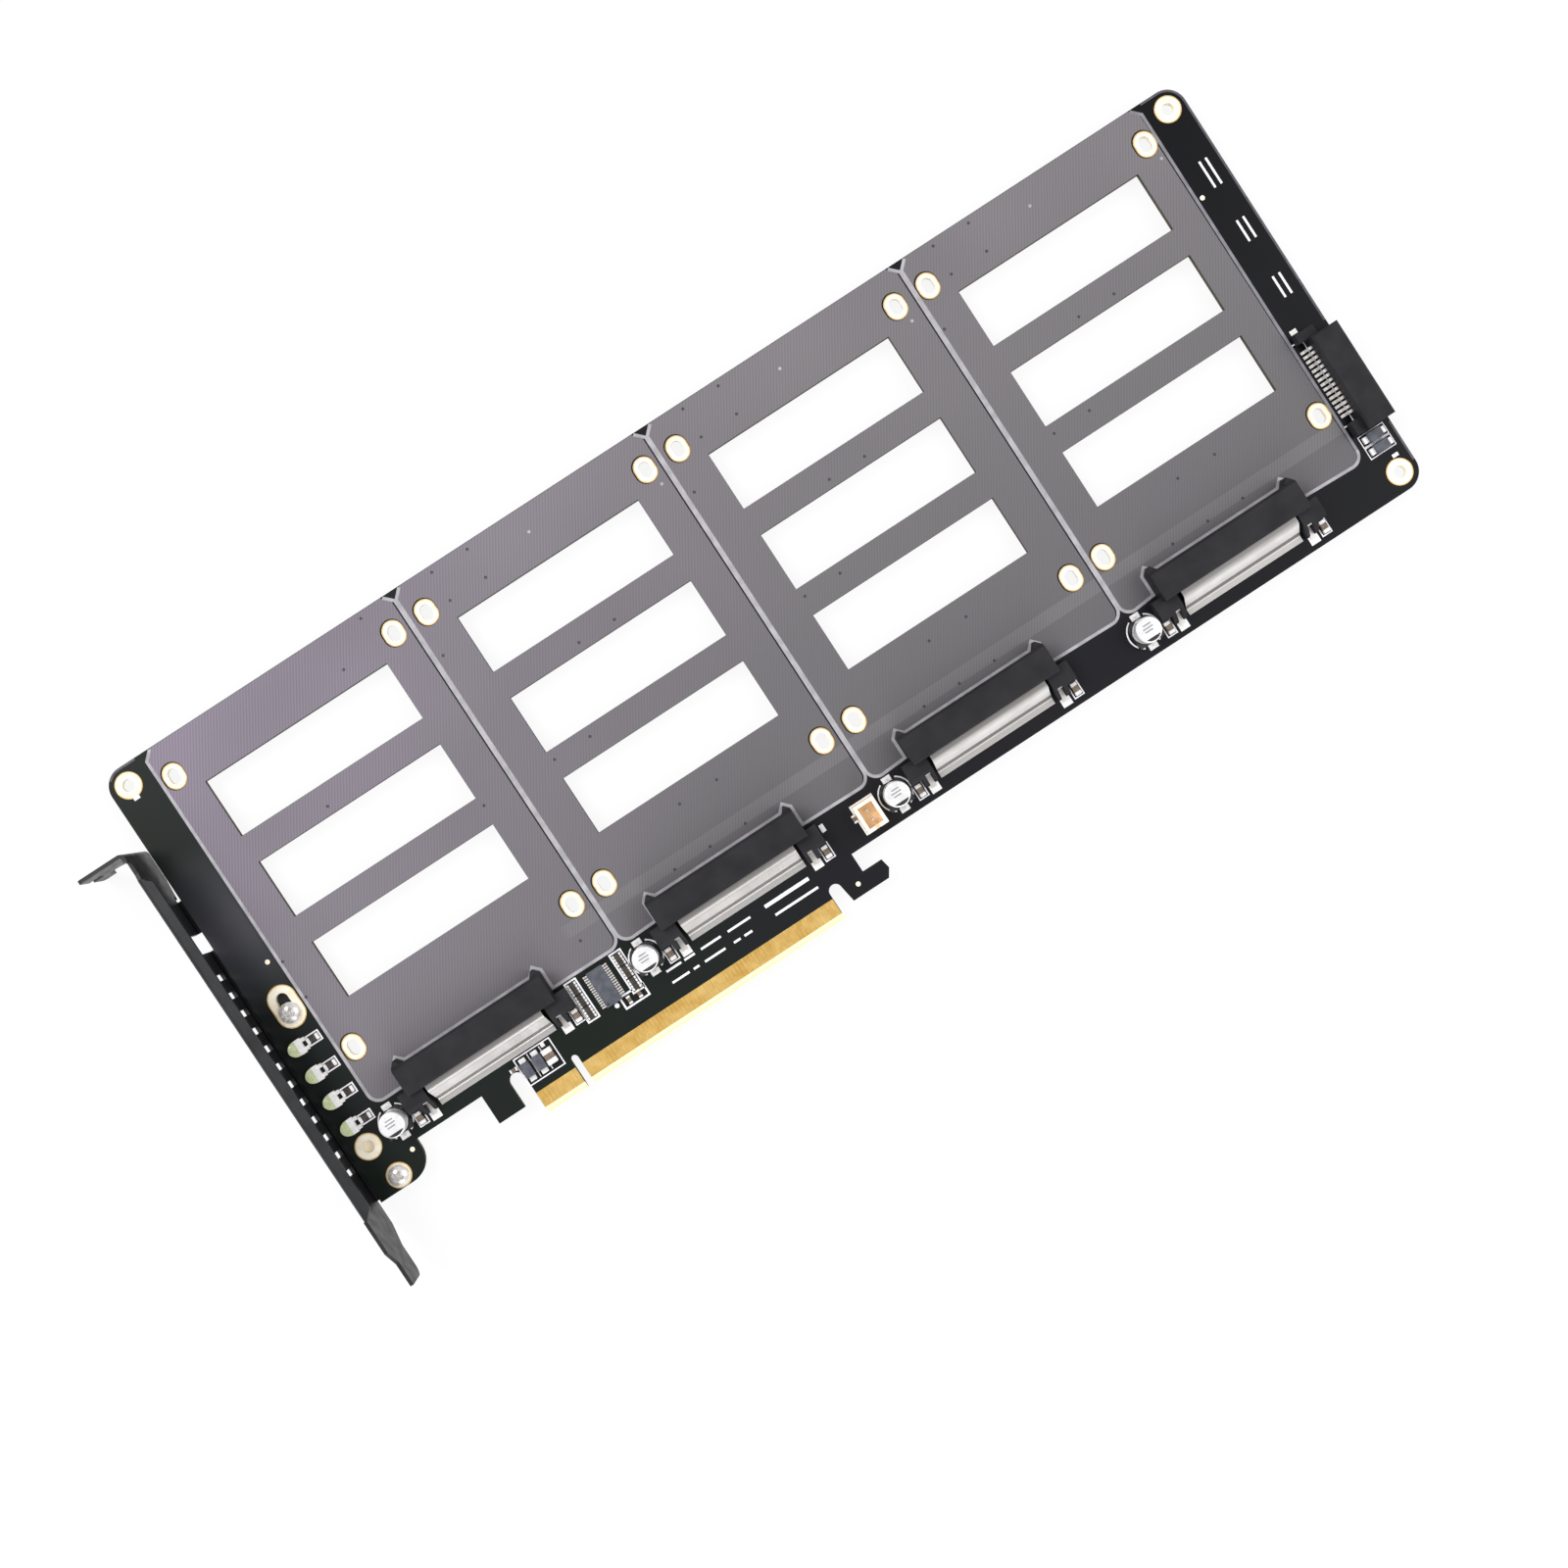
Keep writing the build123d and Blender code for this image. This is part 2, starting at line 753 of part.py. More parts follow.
with BuildPart() as light_lenses:
    with BuildSketch(Plane.XY.offset(lens_inset)):
        with Locations(*[(lens_face_x, y) for y in light_centers_y]):
            Polygon(
                (0, -lens_radius),
                (0, lens_radius),
                (-lens_shoulder, lens_radius),
                (-lens_depth, lens_flat / 2),
                (-lens_depth, -lens_flat / 2),
                (-lens_shoulder, -lens_radius),
                align=None,
            )
    extrude(amount=light_height - 2 * lens_inset)

# Two-pin wafer header
with BuildPart() as header_housing:
    with BuildSketch(Plane.XY):
        with Locations((header_x, header_y)):
            Rectangle(header_width, header_length)
    extrude(amount=header_height)
    with BuildSketch(Plane.XY.offset(header_floor)):
        with Locations((header_x, header_y)):
            Rectangle(header_width - 2 * header_wall, header_length - 2 * header_wall)
    extrude(amount=header_height - header_floor, mode=Mode.SUBTRACT)
    with BuildSketch(Plane.XY.offset(header_height)):
        with Locations((header_x, header_y - header_length / 2)):
            Rectangle(header_notch_width, 2 * header_wall)
    extrude(amount=-header_notch_height, mode=Mode.SUBTRACT)
    with BuildSketch(Plane.XY):
        with Locations(*header_pin_places):
            Rectangle(header_pin_size, header_pin_size)
    extrude(amount=header_floor, mode=Mode.SUBTRACT)

with BuildPart() as header_pins:
    with BuildSketch(Plane.XY.offset(board_bottom_z - header_pin_below)):
        with Locations(*header_pin_places):
            Rectangle(header_pin_size, header_pin_size)
    extrude(amount=board_thickness + header_pin_below + header_pin_rise)

# Power connector at the far edge, with its blade inside the mouth
power_face_x = half_length + power_overhang
power_back_x = power_face_x - power_depth
power_top_y = power_y + power_length / 2
power_mouth_y = power_y + power_mouth_shift
with BuildPart() as power_housing:
    with BuildSketch(Plane.XY):
        with Locations((power_back_x, power_y)):
            Rectangle(power_depth, power_length, align=(Align.MIN, Align.CENTER))
    extrude(amount=power_height)
    chamfer(power_housing.edges().group_by(Axis.Z)[-1], power_edge)
    with BuildSketch(Plane.XY):
        with Locations((power_back_x - power_ear_setback, power_top_y)):
            Rectangle(power_ear_depth, power_ear_length, align=(Align.MIN, Align.MIN))
        with Locations((power_back_x - power_ear_setback, power_top_y - power_length)):
            Rectangle(power_ear_setback, 1.5 * power_ear_length, align=(Align.MIN, Align.MIN))
    extrude(amount=power_ear_height)
    with BuildSketch(Plane.YZ.offset(power_face_x)):
        with Locations((power_mouth_y, power_mouth_z)):
            Rectangle(power_mouth_length, power_mouth_height)
    extrude(amount=-power_mouth_depth, mode=Mode.SUBTRACT)
    with BuildSketch(Plane.YZ.offset(power_face_x - power_mouth_depth)):
        with Locations((power_mouth_y, power_mouth_z)):
            Rectangle(power_blade_length, power_blade_thickness)
        key_y = power_mouth_y + (power_blade_length - power_key_width) / 2
        with Locations((key_y, power_mouth_z - power_key_drop)):
            Rectangle(power_key_width, power_blade_thickness)
    extrude(amount=power_blade_reach)

with BuildPart() as power_tail:
    with BuildSketch(Plane.XZ.offset(-power_tail_width / 2)):
        Polygon(
            (power_back_x, power_tail_exit_z),
            (power_back_x, power_tail_exit_z - power_tail_thickness),
            (power_back_x - power_tail_reach, 0),
            (power_back_x - power_tail_reach - power_tail_foot, 0),
            align=None,
        )
    extrude(amount=power_tail_width)

with BuildPart() as power_tails:
    with Locations((0, power_y + power_tail_shift)):
        with GridLocations(0, power_tail_pitch, 1, power_tail_count):
            add(power_tail.part)

# Clock buffer chip
with BuildPart() as buffer_body:
    with BuildSketch(Plane.XY.offset(buffer_standoff)):
        with Locations((buffer_x, buffer_y)):
            Rectangle(buffer_width, buffer_length)
    extrude(amount=buffer_thickness)

with BuildPart() as buffer_lead_pair:
    for side in (-1, 1):
        with BuildSketch(Plane.XZ.offset(-buffer_lead_width / 2)):
            Polygon(
                (side * buffer_width / 2, buffer_lead_exit_z),
                (side * buffer_width / 2, buffer_lead_exit_z - buffer_lead_thickness),
                (side * (buffer_lead_span / 2 - buffer_lead_foot), 0),
                (side * buffer_lead_span / 2, 0),
                align=None,
            )
        extrude(amount=buffer_lead_width)

with BuildPart() as buffer_leads:
    with Locations((buffer_x, buffer_y)):
        with GridLocations(0, buffer_lead_pitch, 1, buffer_leads_per_side):
            add(buffer_lead_pair.part)

# Resistor networks on both sides of the clock buffer
network_places = [
    (buffer_x + side * network_distance, buffer_y + (i - (networks_per_side - 1) / 2) * network_pitch)
    for side in (-1, 1)
    for i in range(networks_per_side)
]
with BuildPart() as network_bodies:
    with BuildSketch(Plane.XY):
        with Locations(*network_places):
            Rectangle(network_width, network_length)
    extrude(amount=network_height)

with BuildPart() as network_terminals:
    with BuildSketch(Plane.XY):
        with Locations(*network_places):
            with GridLocations(network_width + network_terminal_reach, 0, 2, 1):
                Rectangle(network_terminal_reach, network_length)
    extrude(amount=network_height)

# Two-ended chips, each at (x, y, turn), with its length along X at turn 0
resistor_places = [(light_x + resistor_distance, y, 0) for y in light_centers_y]
bypass_places = [
    (x + side * (wing_span / 2 - bypass_inset), wing_rear_y + bypass_shift, 90)
    for x in receptacle_centers
    for side in (-1, 1)
]
small_places = [
    (bay_centers[0] - 2.325, -54.85, 0),
    (bay_centers[1] - 41.075, -55.9, 90),
    (bay_centers[1] - 38.275, -55.9, 90),
    (header_x - header_chip_gap, -49.3, 90),
]
bulk_places = [(bay_centers[0] + 6.675, -56.6, 90)]
diode_places = [
    (bay_centers[0] + 0.575, -56.5, 90),
    (bay_centers[0] + 3.875, -56.5, 90),
    (half_length - power_diode_inset, -40.4, 0),
    (half_length - power_diode_inset, -43.6, 0),
]
chip_kinds = [
    (resistor_places, resistor_length, resistor_width, resistor_height, resistor_terminal),
    (bypass_places, bypass_length, bypass_width, bypass_height, bypass_terminal),
    (small_places, small_length, small_width, small_height, small_terminal),
    (bulk_places, bulk_length, bulk_width, bulk_height, bulk_terminal),
]

with BuildPart() as chip_bodies:
    for places, length, width, height, terminal in chip_kinds:
        with BuildSketch(Plane.XY):
            with Locations(*[Location((x, y, 0), (0, 0, turn)) for x, y, turn in places]):
                Rectangle(length - 2 * terminal, width)
        extrude(amount=height)

with BuildPart() as chip_terminals:
    for places, length, width, height, terminal in chip_kinds:
        with BuildSketch(Plane.XY):
            with Locations(*[Location((x, y, 0), (0, 0, turn)) for x, y, turn in places]):
                with GridLocations(length - terminal, 0, 2, 1):
                    Rectangle(terminal, width)
        extrude(amount=height)

diode_locations = [Location((x, y, 0), (0, 0, turn)) for x, y, turn in diode_places]
with BuildPart() as diode_bodies:
    with BuildSketch(Plane.XY):
        with Locations(*diode_locations):
            Rectangle(diode_length - 2 * diode_terminal, diode_width)
    extrude(amount=diode_height)

with BuildPart() as diode_terminals:
    with BuildSketch(Plane.XY):
        with Locations(*diode_locations):
            with GridLocations(diode_length - diode_terminal, 0, 2, 1):
                Rectangle(diode_terminal, diode_terminal_width)
    extrude(amount=diode_terminal_height)


def export_node(name, builder):
    """Label a finished piece and write its STEP file."""
    builder.part.label = name
    export_step(builder.part, f"parts/{name}.step")


def export_for_each_bay(name, builder, centers_x, center_y=0):
    """Place one copy of a piece in every bay and write each as a node of its own."""
    for number, center_x in enumerate(centers_x, start=1):
        with BuildPart() as copy:
            with Locations((center_x, center_y)):
                add(builder.part)
        export_node(f"{name}_{number}", copy)


export_node("circuit_board", circuit_board)
export_node("edge_contacts", edge_contacts)
export_node("plated_lands", plated_lands)
export_node("bracket", bracket)
export_node("bracket_screws", bracket_screws)
export_for_each_bay("receptacle_housing", receptacle_housing, receptacle_centers)
export_for_each_bay("receptacle_tails", receptacle_tails, receptacle_centers)
export_for_each_bay("receptacle_locks", receptacle_locks, receptacle_centers)
export_for_each_bay("capacitor_base", capacitor_base, capacitor_centers, capacitor_y)
export_for_each_bay("capacitor_can", capacitor_can, capacitor_centers, capacitor_y)
export_for_each_bay("capacitor_leads", capacitor_leads, capacitor_centers, capacitor_y)
export_node("light_bodies", light_bodies)
export_node("light_lenses", light_lenses)
export_node("header_housing", header_housing)
export_node("header_pins", header_pins)
export_node("power_housing", power_housing)
export_node("power_tails", power_tails)
export_node("clock_buffer_body", buffer_body)
export_node("clock_buffer_leads", buffer_leads)
export_node("network_bodies", network_bodies)
export_node("network_terminals", network_terminals)
export_node("chip_bodies", chip_bodies)
export_node("chip_terminals", chip_terminals)
export_node("diode_bodies", diode_bodies)
export_node("diode_terminals", diode_terminals)
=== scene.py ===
# %% [markdown]
# # SSD riser card
# The finished card is a CAD model with plain solids.  This lesson loads those solids as a fixed
# frame, keeps every piece whose form is already right, and builds the fine pieces that a CAD
# model leaves out: print, plating, contact tails, rounded chips and solder.  The pieces are
# written in millimetres, because the real parts are drawn in them, and `piece` makes metres of
# them.  Floor, lamps and the ranges inside materials are in metres.

import math

import bmesh
import bpy
import numpy as np
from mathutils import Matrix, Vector
from mathutils.geometry import tessellate_polygon


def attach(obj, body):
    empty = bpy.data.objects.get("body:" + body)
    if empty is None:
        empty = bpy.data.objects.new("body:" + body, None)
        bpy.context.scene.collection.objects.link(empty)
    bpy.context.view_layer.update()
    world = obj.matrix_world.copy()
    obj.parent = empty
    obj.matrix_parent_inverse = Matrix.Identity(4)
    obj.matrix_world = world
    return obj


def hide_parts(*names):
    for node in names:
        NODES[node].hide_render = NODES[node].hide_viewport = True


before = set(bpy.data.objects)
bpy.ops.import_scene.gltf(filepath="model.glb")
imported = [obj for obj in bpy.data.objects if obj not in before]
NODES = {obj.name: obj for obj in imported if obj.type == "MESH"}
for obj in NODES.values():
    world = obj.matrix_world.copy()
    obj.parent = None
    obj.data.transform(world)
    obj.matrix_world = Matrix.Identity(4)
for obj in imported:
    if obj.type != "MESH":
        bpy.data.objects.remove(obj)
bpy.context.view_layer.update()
MM = 0.001


# %% [markdown]
# ## One way to make a mesh
# Each new piece is worked out with numpy as arrays of points and faces.  It could be modelled
# by hand or with boolean cuts, but arrays keep hundreds of equal contacts exactly equal, and
# the code says where each one is.  A `Shape` only collects blocks of points and faces, and
# `piece` turns the collection into one object that rides on the card.  Every block is a closed
# shell, so Blender's recalculated normals always point outwards.

# %% Collect points and faces, and make the object
class Shape:
    """Points (n, 3) in millimetres and faces, gathered block by block."""

    def __init__(self):
        self.points = []
        self.faces = []
        self.count = 0

    def add(self, points, faces):
        """Append a block: its faces count from the block's own first point."""
        points = np.asarray(points, dtype=float).reshape(-1, 3)
        self.points.append(points)
        self.faces += [[int(k) + self.count for k in face] for face in faces]
        self.count += len(points)

    def add_copies(self, points, faces, offsets):
        """Append one block at each offset (n, 3): every point plus every offset."""
        for offset in np.asarray(offsets, dtype=float).reshape(-1, 3):
            self.add(np.asarray(points) + offset, faces)


def piece(name, shape, material, replaces=(), smooth_angle=35):
    """Make the object at the origin, with its place in its mesh, and tie it to the card."""
    mesh = bpy.data.meshes.new(name)
    mesh.from_pydata((np.vstack(shape.points) * MM).tolist(), [], shape.faces)
    turned_out = bmesh.new()
    turned_out.from_mesh(mesh)
    bmesh.ops.recalc_face_normals(turned_out, faces=turned_out.faces)
    turned_out.to_mesh(mesh)
    turned_out.free()
    mesh.polygons.foreach_set("use_smooth", [smooth_angle > 0] * len(mesh.polygons))
    if smooth_angle > 0:
        mesh.set_sharp_from_angle(angle=math.radians(smooth_angle))
    mesh.materials.append(material)
    made = bpy.data.objects.new(name, mesh)
    bpy.context.scene.collection.objects.link(made)
    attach(made, "root")
    if replaces:
        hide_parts(*replaces)
    print(f"{name}: {len(mesh.polygons)} faces")


# %% [markdown]
# ## Surfaces on a grid
# A row of points carried through rows of places is a grid, and a grid needs only one rule for
# its faces.  Closing the grid one way gives a tube, closing it both ways gives a ring.

# %% Grid faces
def grid_faces(rows, columns, close_rows=False, close_columns=False):
    """Four-sided faces between neighbours (i, j), (i, j+1), (i+1, j+1), (i+1, j)."""
    i, j = np.meshgrid(
        np.arange(rows if close_rows else rows - 1),
        np.arange(columns if close_columns else columns - 1),
        indexing="ij",
    )
    i_next, j_next = (i + 1) % rows, (j + 1) % columns
    corners = [i * columns + j, i * columns + j_next, i_next * columns + j_next, i_next * columns + j]
    return np.stack(corners, axis=-1).reshape(-1, 4).tolist()


def add_turned(shape, profile, center, steps=32, stretch=0.0, closed=True):
    """Solid of revolution round Z: each (radius, height) of the profile goes round in a circle.

    With stretch, the two halves of the circle move apart along Y, which makes a slot of it:
    x = r cos t, y = r sin t + stretch * sign(sin t).  A closed profile makes a ring, an open
    one a solid with flat caps at its first and last radius.
    """
    t = (np.arange(steps) + 0.5)[:, None] * 2 * np.pi / steps
    r, z = np.asarray(profile, dtype=float).T[:, None, :]
    x, y = r * np.cos(t), r * np.sin(t) + stretch * np.sign(np.sin(t))
    points = np.stack([x, y, np.broadcast_to(z, x.shape)], axis=-1).reshape(-1, 3) + center
    columns = len(profile)
    faces = grid_faces(steps, columns, close_rows=True, close_columns=closed)
    if not closed:
        around = np.arange(steps) * columns
        faces += [list(around[::-1]), list(around + columns - 1)]
    shape.add(points, faces)


def loops_block(loops):
    """Closed loops (m, n, 3) joined one to the next, with a flat cap on the first and the last."""
    loops = np.asarray(loops, dtype=float)
    m, n = loops.shape[:2]
    caps = [list(range(n))[::-1], list(range((m - 1) * n, m * n))]
    return loops.reshape(-1, 3), grid_faces(m, n, close_columns=True) + caps


# %% [markdown]
# ## Small blocks with broken edges
# No moulded or pressed part has a perfectly sharp edge, and the thin bright line on a rounded
# edge is what makes a chip look real.  A Bevel modifier would do it too.  Here the block is
# written out with its edges cut, so that a hundred of them stay a few thousand faces.

# %% Blocks
def add_block(shape, low, high, edge):
    """Box from low to high with all twelve edges cut by the given amount: 24 points, 26 faces."""
    low, high = np.asarray(low, dtype=float), np.asarray(high, dtype=float)
    middle, half = (low + high) / 2, (high - low) / 2
    points, index = [], {}
    for axis in range(3):
        for signs in np.ndindex(2, 2, 2):
            sign = np.array(signs) * 2 - 1
            corner = sign * (half - edge)
            corner[axis] = sign[axis] * half[axis]
            index[(axis,) + tuple(sign)] = len(points)
            points.append(middle + corner)
    faces = []
    for axis in range(3):
        b, c = (axis + 1) % 3, (axis + 2) % 3
        for s in (-1, 1):
            loop = []
            for sb, sc in ((-1, -1), (1, -1), (1, 1), (-1, 1)):
                sign = [0, 0, 0]
                sign[axis], sign[b], sign[c] = s, sb, sc
                loop.append(index[(axis,) + tuple(sign)])
            faces.append(loop if s > 0 else loop[::-1])
        for sb in (-1, 1):
            for sc in (-1, 1):
                loop = []
                for first, along in ((b, -1), (b, 1), (c, 1), (c, -1)):
                    sign = [0, 0, 0]
                    sign[axis], sign[b], sign[c] = along, sb, sc
                    loop.append(index[(first,) + tuple(sign)])
                faces.append(loop if sb * sc > 0 else loop[::-1])
    for sign in np.ndindex(2, 2, 2):
        sign = tuple(int(v) * 2 - 1 for v in sign)
        loop = [index[(axis,) + sign] for axis in range(3)]
        faces.append(loop if np.prod(sign) > 0 else loop[::-1])
    shape.add(points, faces)


def add_brick(shape, x, y, width, depth, top, edge, low=0.0):
    """Block that stands on the board, placed by the middle of its base."""
    add_block(shape, (x - width / 2, y - depth / 2, low), (x + width / 2, y + depth / 2, top), edge)


def add_disc(shape, x, y, radius, low, top, steps):
    """Flat round plate between two heights."""
    profile = [(0.02, low), (radius, low), (radius, top), (0.02, top)]
    add_turned(shape, profile, (x, y, 0), steps, closed=False)


def in_row(middle, count, pitch, axis=0):
    """Places (n, 3) of equal parts: middle + (k - (count - 1) / 2) * pitch along one axis."""
    places = np.zeros((count, 3)) + middle
    places[:, axis] += (np.arange(count) - (count - 1) / 2) * pitch
    return places


# %% [markdown]
# ## Flat plates with holes
# Print and plating are flat shapes with holes in them.  The outline and the holes are loops of
# points; Blender's own tessellator fills the face between them, and walls close the edge.

# %% Plates and ribbons
def add_plate(shape, loops, low, high):
    """Flat plate between two heights: first loop (n, 2) is the outline, the others are holes."""
    loops = [np.asarray(loop, dtype=float) for loop in loops]
    for k, loop in enumerate(loops):
        x, y = loop[:, 0], loop[:, 1]
        turn = np.sum(x * np.roll(y, -1) - np.roll(x, -1) * y)
        if (turn > 0) != (k == 0):
            loops[k] = loop[::-1]
    flat = np.vstack(loops)
    n = len(flat)
    triangles = tessellate_polygon([[Vector((p[0], p[1], 0)) for p in loop] for loop in loops])
    points = np.vstack([np.column_stack([flat, np.full(n, z)]) for z in (low, high)])
    faces = []
    for a, b, c in triangles:
        ab, ac = flat[b] - flat[a], flat[c] - flat[a]
        up = [a, b, c] if ab[0] * ac[1] - ab[1] * ac[0] > 0 else [a, c, b]
        faces.append([k + n for k in up])
        faces.append(up[::-1])
    start = 0
    for loop in loops:
        ring = np.arange(len(loop)) + start
        after = np.roll(ring, -1)
        faces += np.column_stack([ring, after, after + n, ring + n]).tolist()
        start += len(loop)
    shape.add(points, faces)


def box_loop(x0, y0, x1, y1):
    """Rectangle as a loop of four points."""
    return np.array([(x0, y0), (x1, y0), (x1, y1), (x0, y1)])


def centred_loop(x, y, a, b):
    """Rectangle as a loop, from its middle and its half sizes."""
    return box_loop(x - a, y - b, x + a, y + b)


def add_stack(shape, x, y, layers):
    """Rectangles (height, half size, half size) one above the other, joined by walls."""
    shape.add(*loops_block([np.insert(centred_loop(x, y, a, b), 2, z, axis=1) for z, a, b in layers]))


def slot_loop(x, y, radius, stretch, steps=32):
    """Slot outline: a circle whose halves are moved apart along Y."""
    t = (np.arange(steps) + 0.5) * 2 * np.pi / steps
    return np.column_stack([x + radius * np.cos(t), y + radius * np.sin(t) + stretch * np.sign(np.sin(t))])


def add_ribbon(shape, path, width, low, high, closed=False):
    """Line of print: the path (n, 2) offset by half the width to both sides, mitred at corners."""
    path = np.asarray(path, dtype=float)
    after = np.roll(path, -1, axis=0) - path
    before = path - np.roll(path, 1, axis=0)
    if not closed:
        after[-1], before[0] = before[-1], after[0]
    normals = []
    for step in (before, after):
        step = step / np.linalg.norm(step, axis=1)[:, None]
        normals.append(np.column_stack([-step[:, 1], step[:, 0]]))
    middle = normals[0] + normals[1]
    middle *= (width / np.sum(middle * middle, axis=1))[:, None]
    sides = [path + middle, path - middle]
    points = np.stack(
        [np.column_stack([side, np.full(len(path), z)]) for side, z in
         ((sides[1], low), (sides[1], high), (sides[0], high), (sides[0], low))],
        axis=1,
    )
    rows = len(path)
    faces = [face[::-1] for face in grid_faces(rows, 4, close_rows=closed, close_columns=True)]
    if not closed:
        faces += [[0, 1, 2, 3], [4 * rows - 1, 4 * rows - 2, 4 * rows - 3, 4 * rows - 4]]
    shape.add(points.reshape(-1, 3), faces)


# %% [markdown]
# ## Finishes
# A real surface is never one flat colour.  Each finish here starts from the Principled shader
# and adds three things from noise on Object coordinates: a slow drift between two close
# colours, a slow drift in roughness, and a fine bump for the grain of the moulding, plating or
# coating.  An image could do the same, but noise has no seams and works at any distance.

# %% Finish helper
def srgb(code):
    """Colour code like 7a787b as linear red, green, blue and 1."""
    channels = np.array([int(code[k:k + 2], 16) for k in (0, 2, 4)]) / 255
    linear = np.where(channels <= 0.04045, channels / 12.92, ((channels + 0.055) / 1.055) ** 2.4)
    return (*linear.tolist(), 1.0)


class Finish:
    """A material with its node tree, built from left to right."""

    def __init__(self, name, roughness, metallic=0.0, specular=0.5, coat=0.0):
        self.material = bpy.data.materials.new(name)
        self.material.use_nodes = True
        self.tree = self.material.node_tree
        self.shader = self.tree.nodes["Principled BSDF"]
        plain = {"Roughness": roughness, "Metallic": metallic, "Specular IOR Level": specular,
                 "Coat Weight": coat, "Coat Roughness": 0.12}
        for socket, value in plain.items():
            self.shader.inputs[socket].default_value = value
        self.place = self.tree.nodes.new("ShaderNodeTexCoord").outputs["Object"]

    def node(self, kind, settings=None, links=None):
        """New node with plain settings, and socket values or links by name or number."""
        made = self.tree.nodes.new(kind)
        for key, value in (settings or {}).items():
            setattr(made, key, value)
        for key, value in (links or {}).items():
            if isinstance(value, bpy.types.NodeSocket):
                self.tree.links.new(value, made.inputs[key])
            else:
                made.inputs[key].default_value = value
        return made

    def noise(self, size_mm, detail=2.0):
        """Noise whose blotches are about that many millimetres across."""
        sockets = {"Vector": self.place, "Scale": 1 / (size_mm * MM), "Detail": detail}
        return self.node("ShaderNodeTexNoise", None, sockets).outputs["Fac"]

    def between(self, factor, low, high, start=0.35, end=0.65):
        """Number that runs from low to high while the factor runs from start to end."""
        sockets = {"Value": factor, "From Min": start, "From Max": end, "To Min": low, "To Max": high}
        return self.node("ShaderNodeMapRange", None, sockets).outputs["Result"]

    def calc(self, operation, *values):
        """Number that one Math node makes of its inputs."""
        return self.node("ShaderNodeMath", {"operation": operation}, dict(enumerate(values))).outputs[0]

    def axes(self):
        """Object coordinates taken apart into X, Y and Z, in metres."""
        return self.node("ShaderNodeSeparateXYZ", None, {0: self.place}).outputs

    def mix(self, factor, first, second):
        """Colour between two, each a code like 7a787b or a socket."""
        first, second = (srgb(color) if isinstance(color, str) else color for color in (first, second))
        return self.node("ShaderNodeMix", {"data_type": "RGBA"}, {0: factor, 6: first, 7: second}).outputs[2]

    def color(self, socket):
        """Connect the base colour."""
        self.tree.links.new(socket, self.shader.inputs["Base Color"])

    def rough(self, socket):
        """Connect the roughness."""
        self.tree.links.new(socket, self.shader.inputs["Roughness"])

    def bump(self, height, depth_mm):
        """Connect a bump whose height socket spans that many millimetres."""
        made = self.node("ShaderNodeBump", None, {"Height": height, "Distance": depth_mm * MM})
        self.tree.links.new(made.outputs["Normal"], self.shader.inputs["Normal"])


def grained(name, dark, light, blotch_mm, rough, grain_mm, grain_depth_mm, **shader):
    """Finish with drifting colour, drifting roughness (low, high) and one fine grain."""
    finish = Finish(name, rough[0], **shader)
    drift = finish.noise(blotch_mm)
    finish.color(finish.mix(finish.between(drift, 0, 1), dark, light))
    finish.rough(finish.between(finish.noise(blotch_mm / 3), rough[0], rough[1]))
    finish.bump(finish.noise(grain_mm, 3.0), grain_depth_mm)
    return finish.material


# %% Plain finishes of the small parts
gold_plating = grained("gold plating", "cfa04c", "e3bd70", 6, (0.3, 0.44), 0.08, 0.004, metallic=0.5)
land_plating = grained("land plating", "f8ecd0", "fff8e8", 2, (0.34, 0.48), 0.15, 0.008)
rim_plating = grained("land rim plating", "cfa866", "e4c78c", 2, (0.3, 0.44), 0.15, 0.008, metallic=0.2)
tin_plating = grained("tin plating", "dad6d4", "e8e5e2", 6, (0.3, 0.38), 1.5, 0.002, metallic=0.6)
solder = grained("solder", "eae8e8", "faf9f7", 1.2, (0.24, 0.34), 0.6, 0.01, metallic=0.25)
nickel_plating = grained("nickel plating", "e0dcda", "f4f1ef", 2, (0.24, 0.32), 0.8, 0.002, metallic=0.5)
bracket_coating = grained("bracket coating", "17171a", "232427", 9, (0.36, 0.48), 0.28, 0.014, specular=0.4)
connector_moulding = grained("connector moulding", "1f1f22", "28282b", 7, (0.5, 0.62), 0.12, 0.008,
                             specular=0.2)
base_moulding = grained("capacitor base moulding", "1d1d1f", "29292b", 2, (0.5, 0.62), 0.1, 0.006)
drawn_aluminium = grained("drawn aluminium", "e8e8ea", "f6f6f6", 2, (0.26, 0.34), 1.0, 0.001, metallic=0.35)
can_print = grained("dark can print", "17171a", "232326", 1, (0.5, 0.6), 0.1, 0.003)
white_moulding = grained("white moulding", "f2f1ee", "fdfcfa", 1, (0.4, 0.5), 0.1, 0.005)
lens_resin = grained("lens resin", "d3dfa6", "e6efc6", 0.8, (0.14, 0.24), 0.3, 0.004, coat=0.6)
bar_ink = grained("grey can print", "8c8a90", "a19fa4", 1, (0.5, 0.6), 0.1, 0.003)
chip_moulding = grained("chip moulding", "454750", "555862", 1.5, (0.48, 0.6), 0.08, 0.006)
dark_ceramic = grained("dark chip glass", "2c2926", "453e38", 0.8, (0.3, 0.45), 0.1, 0.005)
brown_ceramic = grained("brown ceramic", "66584c", "7f7062", 0.8, (0.4, 0.55), 0.1, 0.006)
print_ink = grained("white print", "e6e3ea", "faf8fb", 1.2, (0.55, 0.7), 0.12, 0.008)
worn_ink = grained("dim outline print", "74727a", "87858c", 3, (0.55, 0.7), 0.12, 0.006)
outline_ink = grained("bay outline print", "9a979c", "b0adb2", 3, (0.55, 0.7), 0.12, 0.006)

